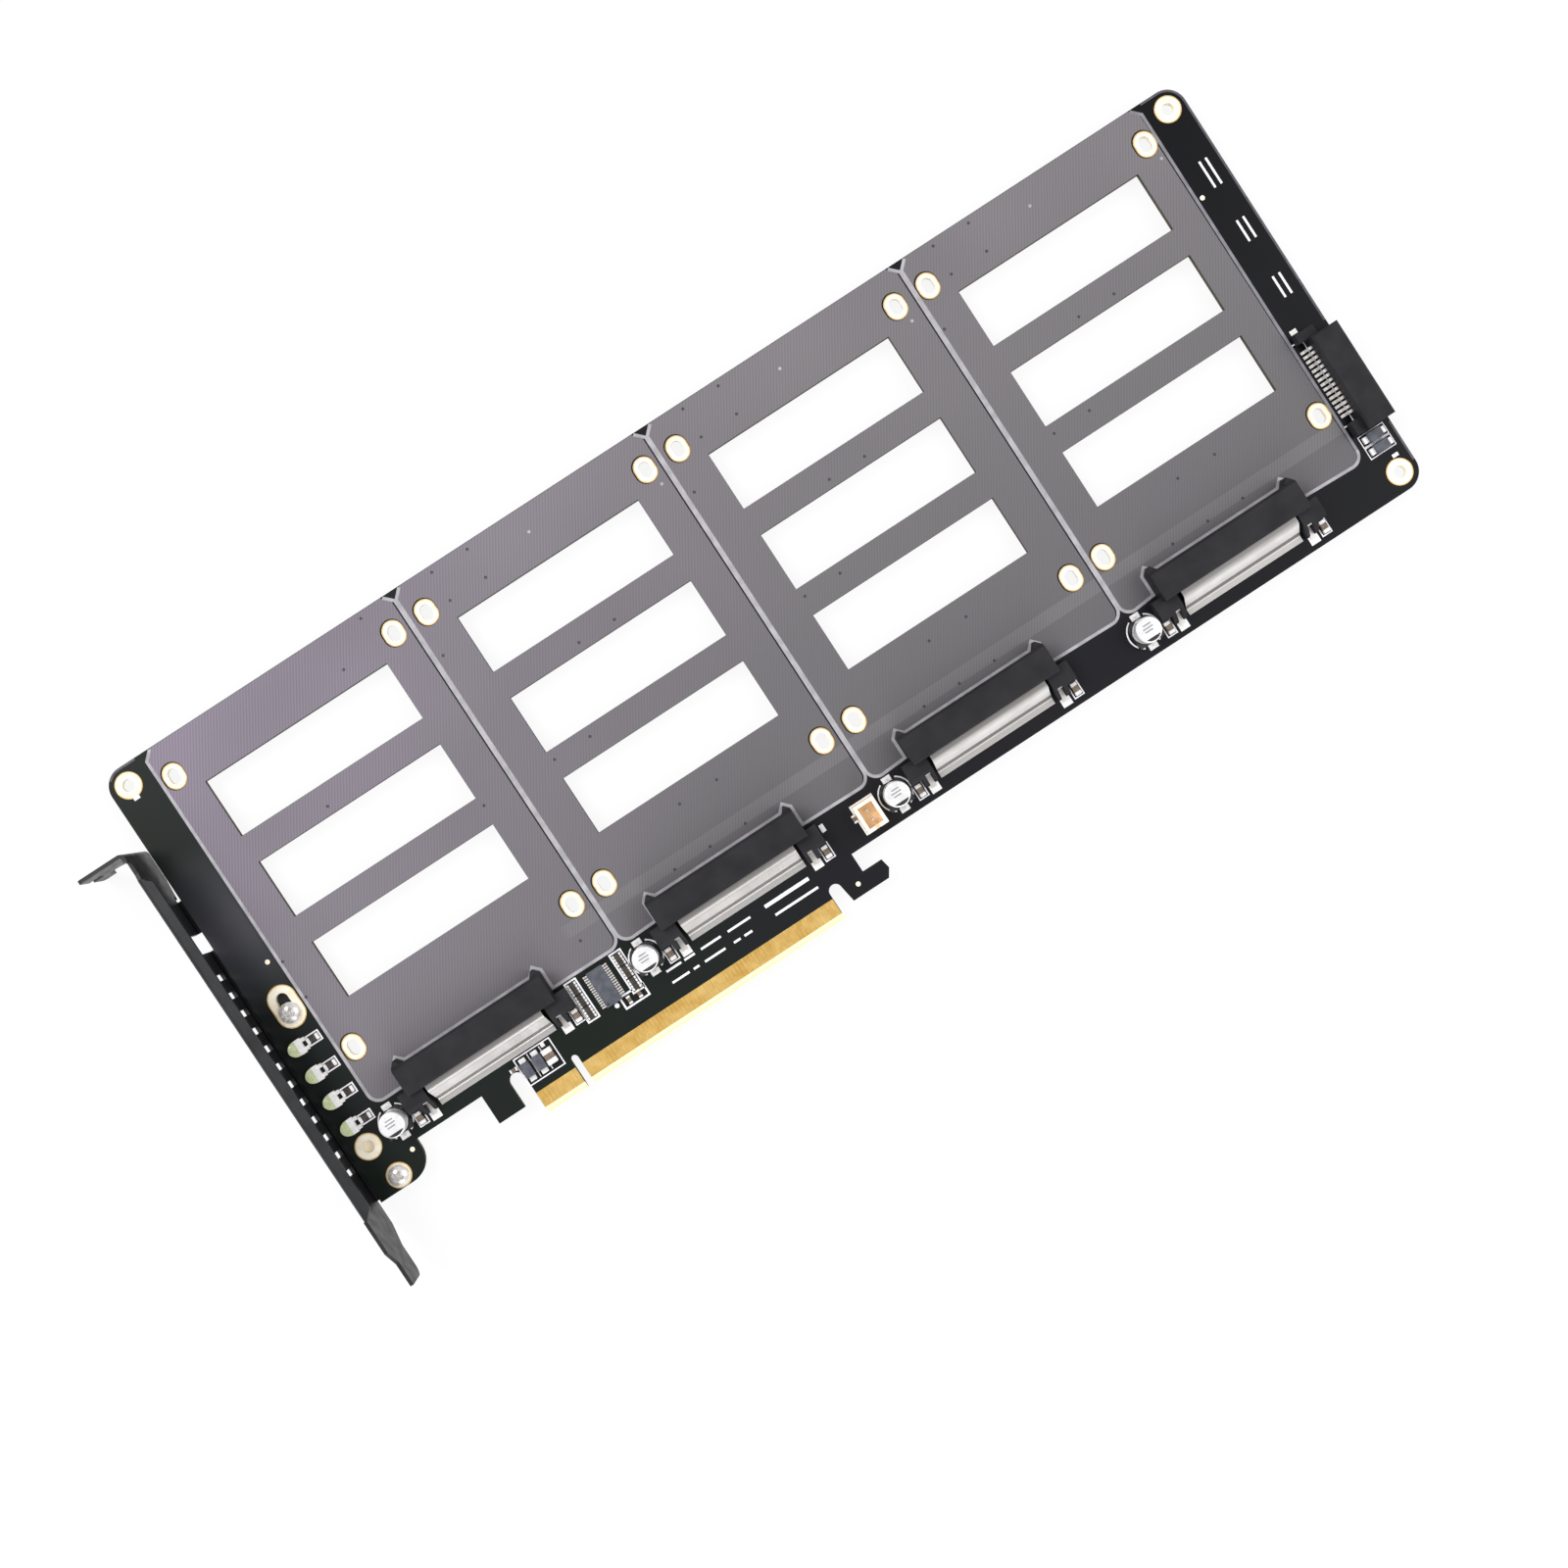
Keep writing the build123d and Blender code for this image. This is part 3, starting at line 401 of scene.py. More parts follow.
nylon = Finish("cream nylon", 0.48)
nylon_tone = nylon.mix(nylon.between(nylon.noise(2), 0, 1), "fff0da", "fff8ec")
# Painted light and shade: the low inside of the housing is a darker tan and the top near-white.
nylon.color(nylon.mix(nylon.between(nylon.axes()["Z"], 0, 1, 0.0018, 0.0045), "ffdfb4", nylon_tone))
nylon.bump(nylon.noise(0.15, 3.0), 0.008)
print("finishes:", len(bpy.data.materials))


# %% [markdown]
# ## Solder mask and bare laminate
# The board is woven glass in resin with a glossy, almost black mask on both faces.  The routed
# walls are a dull, dark olive, which is painted shade on the laminate, and the bevel cutter
# leaves a clean pale yellow slope.  One material does all three: the face normal tells a flat
# face from a slope and a wall.  A material for each set of faces would work too, but the CAD
# mesh is loose triangles, and a rule is shorter than a selection.  The mask is greener near the
# bracket and nearly black at the far end, which is painted shade, and a broad painted sheen lies
# on the narrow strip beside the first bay.

# %% Circuit board finish
SLOPE_NORMAL, FLAT_NORMAL = 0.9, 0.985
mask = Finish("solder mask on laminate", 0.3, specular=0.16)
where = mask.axes()
mask_color = mask.mix(mask.between(mask.noise(60), 0, 1), "171d18", "1b1f1f")
mask_color = mask.mix(mask.between(where["X"], 0, 1, -0.06, -0.02), mask_color, "1c1c20")
# Painted shade: the mask goes nearly black towards the far end.
mask_color = mask.mix(mask.between(where["X"], 0, 1, 0.06, 0.145), mask_color, "0b0c10")
# Painted sheen: a broad lighter patch on the narrow strip beside the first bay.
painted_sheen = mask.calc("MULTIPLY", mask.between(where["Y"], 0, 1, -0.012, 0.006),
                  mask.between(where["Y"], 1, 0, 0.012, 0.032))
painted_sheen = mask.calc("MULTIPLY", painted_sheen, mask.between(where["X"], 1, 0, -0.1415, -0.139))
mask_color = mask.mix(painted_sheen, mask_color, "414146")
weave = mask.node("ShaderNodeTexWave", {"wave_type": "BANDS", "bands_direction": "Z"},
                  {"Vector": mask.place, "Scale": 900, "Distortion": 1.5}).outputs["Fac"]
bevel_color = mask.mix(weave, "efe2ae", "fbf2cc")
# Painted shade: the routed walls get a dark olive, the bevel the laminate's own pale yellow.
shaded_wall_color = mask.mix(weave, "3a382f", "565142")
facing = mask.node("ShaderNodeSeparateXYZ", None, {0: mask.node("ShaderNodeNewGeometry").outputs["Normal"]})
flatness = mask.calc("ABSOLUTE", facing.outputs["Z"])
is_bevel = mask.calc("GREATER_THAN", flatness, SLOPE_NORMAL)
is_flat = mask.calc("GREATER_THAN", flatness, FLAT_NORMAL)
mask.color(mask.mix(is_flat, mask.mix(is_bevel, shaded_wall_color, bevel_color), mask_color))
mask.rough(mask.between(is_flat, 0.7, 0.3, 0, 1))
mask.bump(mask.noise(0.9, 4.0), 0.006)
print("nodes in the mask:", len(mask.tree.nodes))


# %% [markdown]
# ## Hatched print of the drive bays
# Each bay is a field of fine slanting lines in grey ink.  The lines are 0.35 mm wide, far too
# fine to be worth cutting out one by one, so the field is one thin plate, and the lines are a
# wave across its Object coordinates.  The ink is a pale violet grey, lighter at the bracket end
# and the top and darker towards the bottom and the far end; that lighter and darker is a painted
# falloff of the light.  A faint band where a copper plane ends under the print runs along the
# receptacles.

# %% Hatched ink
HATCH_PITCH, HATCH_SLANT = 0.7, math.radians(32)
WAVE_CYCLE = math.pi / 10  # scale at which one band of the wave is one unit long
hatch = Finish("hatched bay print", 0.5, specular=0.3)
slant = hatch.node("ShaderNodeMapping", None, {"Vector": hatch.place, "Rotation": (0, 0, HATCH_SLANT)})
bands = {"wave_type": "BANDS", "bands_direction": "X", "wave_profile": "SIN"}
sockets = {"Vector": slant.outputs[0], "Scale": WAVE_CYCLE / (HATCH_PITCH * MM)}
lines = hatch.node("ShaderNodeTexWave", bands, sockets).outputs["Fac"]
place = hatch.axes()
# Painted light falloff: lighter at the bracket end and the top, darker towards the bottom and the far end.
upper_lit_tone = hatch.mix(hatch.between(place["X"], 0, 1, -0.15, 0.02), "8a7e90", "7c787c")
lower_shaded_tone = hatch.mix(hatch.between(place["X"], 0, 1, -0.15, -0.03), "7c777d", "615f61")
ink_and_falloff_tone = hatch.mix(hatch.between(place["Y"], 0, 1, 0.06, -0.04), upper_lit_tone, lower_shaded_tone)
blotches = hatch.between(hatch.noise(35, 1.0), 0.0, 0.35, 0.3, 0.7)
ink_and_falloff_tone = hatch.mix(blotches, ink_and_falloff_tone, "68656a")
band = hatch.calc("MULTIPLY", hatch.calc("COMPARE", place["Y"], -0.0343, 0.0017),
                  hatch.between(place["X"], 0, 0.4, -0.081, -0.079))
ink_and_falloff_tone = hatch.mix(band, ink_and_falloff_tone, "807d80")
hatch.color(hatch.mix(hatch.between(lines, 0, 0.3, 0.2, 0.8), ink_and_falloff_tone, "545258"))
hatch.rough(hatch.between(lines, 0.42, 0.6, 0, 1))
hatch.bump(lines, 0.01)
print("materials:", len(bpy.data.materials))


# %% [markdown]
# ## Carried-over pieces
# The board, the bracket, the connector housings and a few blocks already have their true form
# in the CAD model.  They keep their mesh and only get a finish on their material slots.

# %% Finish the CAD pieces
cad_finishes = {
    "circuit_board": mask.material,
    "edge_contacts": gold_plating,
    "bracket": bracket_coating,
    "header_housing": nylon.material,
    "power_housing": connector_moulding,
}
for bay in range(1, 5):
    cad_finishes[f"receptacle_housing_{bay}"] = connector_moulding
    cad_finishes[f"receptacle_locks_{bay}"] = tin_plating
    cad_finishes[f"capacitor_leads_{bay}"] = tin_plating
for name, material in cad_finishes.items():
    mesh = NODES[name].data
    mesh.materials.clear()
    mesh.materials.append(material)
print("finished CAD pieces:", len(cad_finishes))


# %% [markdown]
# ## Where things are
# The bays repeat along the card, so most places are a bay's centre plus an offset.  X runs along
# the card away from the bracket, Y up to the top edge, and the board's upper face is at Z 0.

# %% Shared places
BAY_PITCH = 70.85
BAYS = [0.6 + (k - 1.5) * BAY_PITCH for k in range(4)]
BAY_Y = 8.8
BOARD_BOTTOM = -1.6
BOARD_HALF_LENGTH, BOARD_HALF_WIDTH = 151.5, 55.9
DRIVE_HOLES = [(x + i * 30.86, BAY_Y + j * 38.3) for x in BAYS for i in (-1, 1) for j in (-1, 1)]
CORNER_HOLES = [(i * 146.75, j * 51.15) for i in (-1, 1) for j in (-1, 1)]
RECEPTACLES = [x - 4.8 for x in BAYS]
BYPASS_OFFSET = 22.1
CAPACITORS = [(x - 32.26, -49.6) for x in BAYS]
print("bay centres:", [round(x, 2) for x in BAYS], "drive holes:", len(DRIVE_HOLES))


# %% [markdown]
# ## Plated holes
# Every screw hole has a ring of pale gold plating and a lining; all but the two bracket holes
# have the ring on both faces.  It is one profile carried round the hole, and for a slot
# round a circle whose halves are moved apart.  The edge of the copper under the plating shows
# as a darker gold rim, a second ring just outside the first.  Under the corner hole by the
# lights a bright nut face closes the hole from below.

# %% Plated holes
LAND_TOP = 0.05
RIM_WIDTH = 0.28


def plated_hole(lands, rims, x, y, radius, border, stretch=0.0, lower_land=True):
    """Ring with the section of a channel: lining inside the hole and a flat land on each face."""
    inner, wall, outer, top, soft = radius - 0.07, radius - 0.01, radius + border, LAND_TOP, 0.02
    if lower_land:
        low = BOARD_BOTTOM - LAND_TOP
        profile = [(inner, low), (outer, low), (outer, BOARD_BOTTOM), (wall, BOARD_BOTTOM)]
    else:
        profile = [(inner, BOARD_BOTTOM), (wall, BOARD_BOTTOM)]
    profile += [(wall, 0.0), (outer, 0.0), (outer, top - soft), (outer - soft, top), (inner + soft, top),
                (inner, top - soft)]
    add_turned(lands, profile, (x, y, 0), 40, stretch)
    far = outer + RIM_WIDTH
    rim = [(outer, 0.0), (far, 0.0), (far, 0.03), (far - 0.04, 0.045), (outer, 0.045)]
    add_turned(rims, rim, (x, y, 0), 40, stretch)


plating, rims = Shape(), Shape()
for x, y in DRIVE_HOLES:
    plated_hole(plating, rims, x, y, 1.5, 0.87, 0.6)
for x, y in CORNER_HOLES:
    plated_hole(plating, rims, x, y, 1.6, 1.42)
plated_hole(plating, rims, -144.5, -12.8, 1.64, 1.67, 1.95, lower_land=False)
plated_hole(plating, rims, -144.4, -60.8, 1.64, 1.22, lower_land=False)
piece("plated_rings", plating, land_plating, ["plated_lands"])
piece("land_rims", rims, rim_plating, smooth_angle=0)
nut = Shape()
add_disc(nut, *CORNER_HOLES[0], 1.5, BOARD_BOTTOM, -1.5, 32)
piece("flange_nut_face", nut, land_plating, smooth_angle=0)


# %% [markdown]
# ## Printed bays
# The print covers the board under each drive.  Its outline follows the drive, with cut corners
# at the top, round ones at the bottom and a step round the receptacle's guide posts.  The
# windows and the plated holes are left open in it.  The line round it is a ribbon of brighter
# ink, and the last line at the far end is worn and dimmer, so it is a piece of its own.

# %% Printed bays and their outlines
def arc(x, y, radius, start, end, steps=8):
    """Points on a circle from one angle to another, in degrees."""
    t = np.radians(np.linspace(start, end, steps))
    return np.column_stack([x + radius * np.cos(t), y + radius * np.sin(t)])


def bay_loop(bay, inset, right_inset, top_inset):
    """Outline of one bay's print between two of its sides, moved in by the insets."""
    x, left, right = BAYS[bay], BAY_SIDES[bay][0] + inset, BAY_SIDES[bay][1] - right_inset
    top, bottom = 55.85 - top_inset, -43.7 - 0.15 * bay + inset
    cut, round_ = 2.1 - 0.6 * inset, 2.9 - inset
    notch = [(-25.7, -43.6), (-25.7, -38.4), (-24.2, -36.8), (-22.5, -38.5),
             (12.9, -38.5), (14.6, -36.8), (16.1, -38.4), (16.1, -43.6)]
    grow = [(-1, 1), (-1, 0.4), (0, 1.4), (0.6, 1), (-0.6, 1), (0, 1.4), (1, 0.4), (1, 1)]
    notch = [(x + a + inset * i, b + inset * j) for (a, b), (i, j) in zip(notch, grow)]
    return np.vstack([
        [(left, top - cut), (left, bottom + round_)],
        arc(left + round_, bottom + round_, round_, 190, 270),
        notch,
        arc(right - round_, bottom + round_, round_, 270, 350),
        [(right, bottom + round_), (right, top - cut), (right - cut, top), (left + cut, top)],
    ])


BAY_SIDES = [(-140.1, -70.48), (-70.02, 0.27), (0.73, 72.2), (72.66, 140.85)]
OUTLINE_WIDTH = 0.76
WINDOW_ROWS, WINDOW_HALVES = [11.7 + 22.7 * row for row in (-1, 0, 1)], (25.55, 7.75)
prints, outlines, end_line = Shape(), Shape(), Shape()
for bay, x in enumerate(BAYS):
    loops = [bay_loop(bay, 0.3, 0.75 if bay < 3 else 0.5, 0.05)]
    loops += [centred_loop(x, y, *WINDOW_HALVES) for y in WINDOW_ROWS]
    loops += [slot_loop(a - 0.12, b + 0.12, 2.9, 0.6) for a, b in DRIVE_HOLES if abs(a - x) < BAY_PITCH / 2]
    add_plate(prints, loops, 0.0, 0.02)
    sides = bay_loop(bay, 0.0, 0.0, 0.3)
    path = np.vstack([sides[-1:], sides[:-1]])
    last = len(path) - (2 if bay == 3 else 0)
    add_ribbon(outlines, path[:last], OUTLINE_WIDTH, 0.0, 0.03 + 0.006 * (bay % 2))
add_ribbon(end_line, path[-3:], OUTLINE_WIDTH, 0.0, 0.036)
piece("bay_prints", prints, hatch.material, smooth_angle=0)
piece("bay_outlines", outlines, outline_ink, smooth_angle=0)
piece("end_outline", end_line, worn_ink, smooth_angle=0)


# %% [markdown]
# ## Contact tails
# A receptacle's contacts leave the back of its housing side by side, bend down and end in flat
# feet that are soldered to the board.  Each tail is a flat strip: its side view is a line
# thickened by an offset, and the strip is that side view carried across the tail's width.  The
# tin is painted darker beside the housing, at the lower bend and a little on the feet: painted
# shade and the housing's painted reflection.

# %% Tails
def strip_section(line, thickness):
    """Side view (n, 2) thickened to one side: the line, then the line moved along its normals."""
    line = np.asarray(line, dtype=float)
    steps = np.diff(line, axis=0)
    steps /= np.linalg.norm(steps, axis=1)[:, None]
    normals = np.column_stack([-steps[:, 1], steps[:, 0]])
    first, last = np.vstack([normals[:1], normals]), np.vstack([normals, normals[-1:]])
    middle = first + last
    middle *= (2 / np.sum(middle * middle, axis=1))[:, None]
    return np.vstack([line, (line + middle * thickness)[::-1]])


def rounded_line(corners, radius, steps=3):
    """Polyline whose inner corners are rounded: each becomes a quadratic curve between its legs."""
    corners = np.asarray(corners, dtype=float)
    points = [corners[0]]
    for a, b, c in zip(corners[:-2], corners[1:-1], corners[2:]):
        start = b + (a - b) / np.linalg.norm(a - b) * radius
        end = b + (c - b) / np.linalg.norm(c - b) * radius
        t = np.linspace(0, 1, steps)[:, None]
        points += list((1 - t) ** 2 * start + 2 * t * (1 - t) * b + t ** 2 * end)
    return np.array(points + [corners[-1]])


def strip_block(line, thickness, width, axis):
    """Strip carried across its width along X (axis 0) or Y (axis 1), centred on the line."""
    section = strip_section(line, thickness)
    loops = []
    for side in (-width / 2, width / 2):
        loops.append(np.insert(section, axis, side, axis=1))
    return loops_block(loops)


HOUSING_BACK = -46.2
TAIL_COUNT, TAIL_PITCH, TAIL_WIDTH, TAIL_THICKNESS = 81, 0.4, 0.37, 0.22
tail_tin = Finish("tail plating with painted shade", 0.36, metallic=0.4)
along_tail = tail_tin.axes()["Y"]
# Painted shade across the lower bend.
lower_bend_shade = tail_tin.calc("COMPARE", along_tail, -0.0504, 0.0004)
tail_color = tail_tin.mix(tail_tin.between(tail_tin.noise(6), 0, 1), "ebe8e6", "f7f5f3")
# Painted shade: the feet a little darker than the slope.
tail_color = tail_tin.mix(tail_tin.between(along_tail, 1, 0, -0.0512, -0.0507), tail_color, "bdbab8")
# Painted shade and the housing's painted reflection beside the housing.
tail_color = tail_tin.mix(tail_tin.between(along_tail, 0, 1, -0.0485, -0.0472), tail_color, "8b8886")
tail_color = tail_tin.mix(lower_bend_shade, tail_color, "8b8886")
tail_tin.color(tail_color)
tail_tin.bump(tail_tin.noise(1.5), 0.002)
tail_line = rounded_line([(HOUSING_BACK + 0.3, 5.0), (HOUSING_BACK - 1.5, 5.0), (HOUSING_BACK - 4.4, 0.06),
                          (HOUSING_BACK - 6.2, 0.06)], 0.6, 5)
one_tail = strip_block(tail_line[::-1], TAIL_THICKNESS, TAIL_WIDTH, 0)
for bay, x in enumerate(RECEPTACLES, start=1):
    tails = Shape()
    tails.add_copies(*one_tail, in_row((x, 0, 0), TAIL_COUNT, TAIL_PITCH))
    piece(f"tails_{bay}", tails, tail_tin.material, [f"receptacle_tails_{bay}"], 50)


# %% [markdown]
# ## Contacts inside the mouths
# The drive's blade slides between two rows of gilt springs.  They sit against the roof and the
# floor of the mouth, where only their bowed middles stand out.

# %% Mouth contacts
MOUTH_BACK, MOUTH_FRONT, MOUTH_MIDDLE = -43.3, -39.4, 3.7
POWER_COUNT, POWER_PITCH = 15, 1.27
bow = np.array([(MOUTH_BACK, 4.83), (MOUTH_BACK + 1.2, 4.78), (MOUTH_BACK + 2.4, 4.55),
                (MOUTH_BACK + 3.2, 4.62), (MOUTH_FRONT, 4.83)])
springs = Shape()
upper, spring_faces = strip_block(bow[::-1], 0.1, 0.36, 0)
lower = upper * (1, 1, -1) + (0, 0, 2 * MOUTH_MIDDLE)
for x in RECEPTACLES:
    for points in (upper, lower):
        springs.add_copies(points, spring_faces, in_row((x, 0, 0), 40, 0.8))
power_spring = strip_block([(147.1, 3.55), (148.4, 3.53), (150.4, 3.53)], 0.08, 0.8, 1)
springs.add_copies(*power_spring, in_row((0, -24.95, 0), POWER_COUNT, POWER_PITCH, 1))
piece("mouth_contacts", springs, gold_plating)


# %% [markdown]
# ## Aluminium capacitors
# A can is drawn from sheet, crimped near its foot and crowned at its rim.  All of that is one
# profile turned round its axis.  The dark mark on its negative side is ink, a thin plate in the
# shape of a circle's segment, and three plain grey bars lie beside it.  The base stands round
# the can with four corner posts.

# %% Capacitors
CAN_RADIUS, CAN_TOP = 3.15, 6.0
BASE_FOOT, BASE_TOP, POST_TOP = 0.2, 0.8, 1.7
can_profile = [(0.02, BASE_TOP), (3.0, BASE_TOP), (CAN_RADIUS, 0.95), (CAN_RADIUS, 2.05), (3.06, 2.25),
               (2.9, 2.45), (2.9, 2.6), (3.06, 2.8), (CAN_RADIUS, 3.0), (CAN_RADIUS, 5.55), (3.1, 5.75),
               (2.98, 5.91), (2.8, 5.985), (2.6, CAN_TOP), (0.02, CAN_TOP)]
half, cut = 3.3, 1.3
base_outline = [(-half, -half), (half, -half), (half, half - cut), (half - cut, half), (cut - half, half),
                (-half, half - cut)]
post_side = 1.4
square_post = [(half, -half), (half, -post_side), (post_side, -half)]
cut_post = [(half, half - cut), (half - cut, half), (post_side, half), (half, post_side)]
segment = arc(0, 0, 2.8, 224, 316, 24)
can_lines = Shape()
for bay, (x, y) in enumerate(CAPACITORS, start=1):
    can, base, mark = Shape(), Shape(), Shape()
    add_turned(can, can_profile, (x, y, 0), 72, closed=False)
    add_plate(base, [np.array(base_outline) + (x, y)], BASE_FOOT, BASE_TOP)
    for side in (-1, 1):
        for post in (square_post, cut_post):
            add_plate(base, [np.array(post) * (side, 1) + (x, y)], BASE_TOP, POST_TOP)
        near, far = sorted((side * 0.4, side * half))
        add_plate(base, [box_loop(near, -half, far, 2.0) + (x, y)], 0.0, BASE_FOOT)
    add_plate(mark, [segment + (x, y)], CAN_TOP, CAN_TOP + 0.03)
    for row, (a, b) in enumerate(((-1.2, 0.9), (-1.4, 1.3), (-0.9, 1.1))):
        low = y - 0.45 + 0.8 * row
        add_plate(can_lines, [box_loop(x + a, low, x + b, low + 0.35)], CAN_TOP, CAN_TOP + 0.02)
    piece(f"can_{bay}", can, drawn_aluminium, [f"capacitor_can_{bay}"])
    piece(f"can_base_{bay}", base, base_moulding, [f"capacitor_base_{bay}"], 0)
    piece(f"can_mark_{bay}", mark, can_print, smooth_angle=0)
piece("can_lines", can_lines, bar_ink, smooth_angle=0)


# %% [markdown]
# ## Status lights
# Each light is a white block with a clear lens that bulges towards the bracket's slots.  The
# lens outline is half an ellipse; stacked loops that shrink towards top and bottom round it.

# %% Lights
LIGHT_X, LIGHT_ROW = -146.9, [-22.5 - 7.47 * k for k in range(4)]
LIGHT_DEPTH, LIGHT_WIDTH, LENS_REACH = 1.6, 3.9, 2.4
light_blocks, lenses, light_feet = Shape(), Shape(), Shape()
t = np.linspace(-np.pi / 2, np.pi / 2, 25)
layers = [(0.1, 0.9), (0.16, 0.97), (0.3, 1.0), (1.0, 1.0), (1.14, 0.97), (1.2, 0.9)]
for y in LIGHT_ROW:
    add_brick(light_blocks, LIGHT_X, y, LIGHT_DEPTH, LIGHT_WIDTH, 1.3, 0.08)
    loops = []
    for z, scale in layers:
        bulge = LIGHT_X - LIGHT_DEPTH / 2 - LENS_REACH * scale * np.cos(t)
        loops.append(np.column_stack([bulge, y + LIGHT_WIDTH / 2 * scale * np.sin(t), np.full(len(t), z)]))
    lenses.add(*loops_block(loops))
    for side in (-1, 1):
        add_brick(light_feet, LIGHT_X + 1.25, y + side * 1.15, 1.1, 1.0, 0.8, 0.08)
piece("light_blocks", light_blocks, white_moulding, ["light_bodies"])
piece("light_domes", lenses, lens_resin, ["light_lenses"], 50)
piece("light_feet", light_feet, solder)


# %% [markdown]
# ## Clock buffer and its neighbours
# The chip's leads are gull wings: out of the side, down and flat on the board.  The small
# resistor networks beside it have four metal ends on each long side.

# %% Clock buffer, resistor networks
BUFFER_X, BUFFER_Y = -79.15, -49.9
NETWORK_OFFSET = 6.35
body = Shape()
insets = ((0.1, 0.14), (0.52, 0.0), (0.6, 0.0), (1.0, 0.1), (1.05, 0.16))
add_stack(body, BUFFER_X, BUFFER_Y, [(z, 2.2 - inset, 4.85 - inset) for z, inset in insets])
piece("buffer_chip", body, chip_moulding, ["clock_buffer_body"])
dimple = Shape()
dimple_profile = [(0.02, 1.05), (0.32, 1.05), (0.3, 1.058), (0.02, 1.058)]
add_turned(dimple, dimple_profile, (BUFFER_X - 1.5, BUFFER_Y - 4.1, 0), 20, closed=False)
piece("buffer_dimple", dimple, can_print)

gull = rounded_line([(2.0, 0.62), (2.5, 0.62), (2.75, 0.03), (3.3, 0.03)], 0.14)
leads = Shape()
for side in (-1, 1):
    points, faces = strip_block(gull, 0.13, 0.42, 1)
    leads.add_copies(points * (side, 1, 1), faces, in_row((BUFFER_X, BUFFER_Y, 0), 14, 0.65, 1))
piece("buffer_leads", leads, tin_plating, ["clock_buffer_leads"])

network_bodies, network_ends = Shape(), Shape()
for side in (-1, 1):
    for k in (-1, 0, 1):
        x, y = BUFFER_X + side * NETWORK_OFFSET, BUFFER_Y + k * 3.35
        add_brick(network_bodies, x, y, 1.5, 3.2, 0.55, 0.06, low=0.04)
        for end in (-1, 1):
            for step in (-1.5, -0.5, 0.5, 1.5):
                add_brick(network_ends, x + end * 0.9, y + step * 0.8, 0.52, 0.66, 0.58, 0.07)
piece("network_blocks", network_bodies, dark_ceramic, ["network_bodies"])
piece("network_ends", network_ends, solder, ["network_terminals"])


# %% [markdown]
# ## Chips and diodes
# Chip parts are little bricks with a metal cap on each end.  Each is placed by its centre and
# turn, as the pick-and-place machine does it.  Two capacitors are tucked behind each
# receptacle's wings, and a resistor lies behind each light.

# %% Two-ended parts
def add_chip(bodies, ends, x, y, turn, length, width, height, cap, foot_width=None, foot_height=None):
    """Brick along X at turn 0, along Y at turn 90, with a cap at each end.

    Its middle is 0.03 mm inside the caps all round, and reaches as far into each of them.
    """
    w, h = foot_width or width, foot_height or height
    bricks = [(bodies, 0, length - 2 * cap + 0.06, width - 0.06, height - 0.03, 0.05, 0.04)]
    bricks += [(ends, end * (length - cap) / 2, cap, w, h, 0.09, 0) for end in (-1, 1)]
    for shape, along, a, b, *rest in bricks:
        place, size = ((x, y + along), (b, a)) if turn == 90 else ((x + along, y), (a, b))
        add_brick(shape, *place, *size, *rest)


bypass = [(x + side * BYPASS_OFFSET, -52.1, 90) for x in RECEPTACLES for side in (-1, 1)]
small = [(-108.0, -54.85, 0), (-75.9, -55.9, 90), (-73.1, -55.9, 90), (-7.7, -49.3, 90)]
ceramics, resistors, chip_ends = Shape(), Shape(), Shape()
for y in LIGHT_ROW:
    add_chip(resistors, chip_ends, LIGHT_X + 3.4, y, 0, 3.2, 1.6, 0.6, 0.8)
for spot in bypass:
    add_chip(ceramics, chip_ends, *spot, 3.2, 1.6, 1.2, 0.9)
for spot in small:
    add_chip(ceramics, chip_ends, *spot, 2.0, 1.0, 0.8, 0.5)
add_chip(ceramics, chip_ends, -99.0, -56.6, 90, 4.0, 2.6, 1.4, 1.3)
piece("chip_bricks", ceramics, brown_ceramic, ["chip_bodies"])
piece("resistor_bricks", resistors, dark_ceramic)
piece("chip_caps", chip_ends, solder, ["chip_terminals"])

diodes, diode_ends = Shape(), Shape()
for spot in ((-105.1, -56.5, 90), (-101.8, -56.5, 90), (146.1, -40.4, 0), (146.1, -43.6, 0)):
    add_chip(diodes, diode_ends, *spot, 6.0, 2.5, 1.9, 1.2, 1.7, 0.9)
piece("diode_blocks", diodes, chip_moulding, ["diode_bodies"])
piece("diode_ends", diode_ends, solder, ["diode_terminals"])


# %% [markdown]
# ## Header pins and power tails
# The header's square pins have pointed tips and a cone of solder below the board.  The power
# connector's tails are strips like those of the receptacles.

# %% Pins, power tails
HEADER_X, HEADER_Y, PIN_PITCH = -4.2, -50.2, 2.5
pin_layers = [(z, w, w) for z, w in ((-2.5, 0.16), (-2.3, 0.32), (4.3, 0.32), (4.6, 0.14))]
cone = [(0.02, -2.25), (0.36, -2.2), (0.5, -1.9), (0.8, -1.68), (1.0, BOARD_BOTTOM), (0.02, BOARD_BOTTOM)]
pins, cones = Shape(), Shape()
for side in (-1, 1):
    y = HEADER_Y + side * PIN_PITCH / 2
    add_stack(pins, HEADER_X, y, pin_layers)
    add_turned(cones, cone, (HEADER_X, y, 0), 24, closed=False)
piece("pins", pins, tin_plating, ["header_pins"], 30)
piece("pin_solder", cones, solder)

power_tail = rounded_line([(144.6, 2.35), (143.6, 2.35), (142.8, 0.06), (141.9, 0.06)], 0.3)
power_tails = Shape()
power_row = in_row((0, -23.7, 0), POWER_COUNT, POWER_PITCH, 1)
power_tails.add_copies(*strip_block(power_tail, TAIL_THICKNESS, 0.7, 1), power_row)
piece("power_strips", power_tails, tin_plating, ["power_tails"], 50)


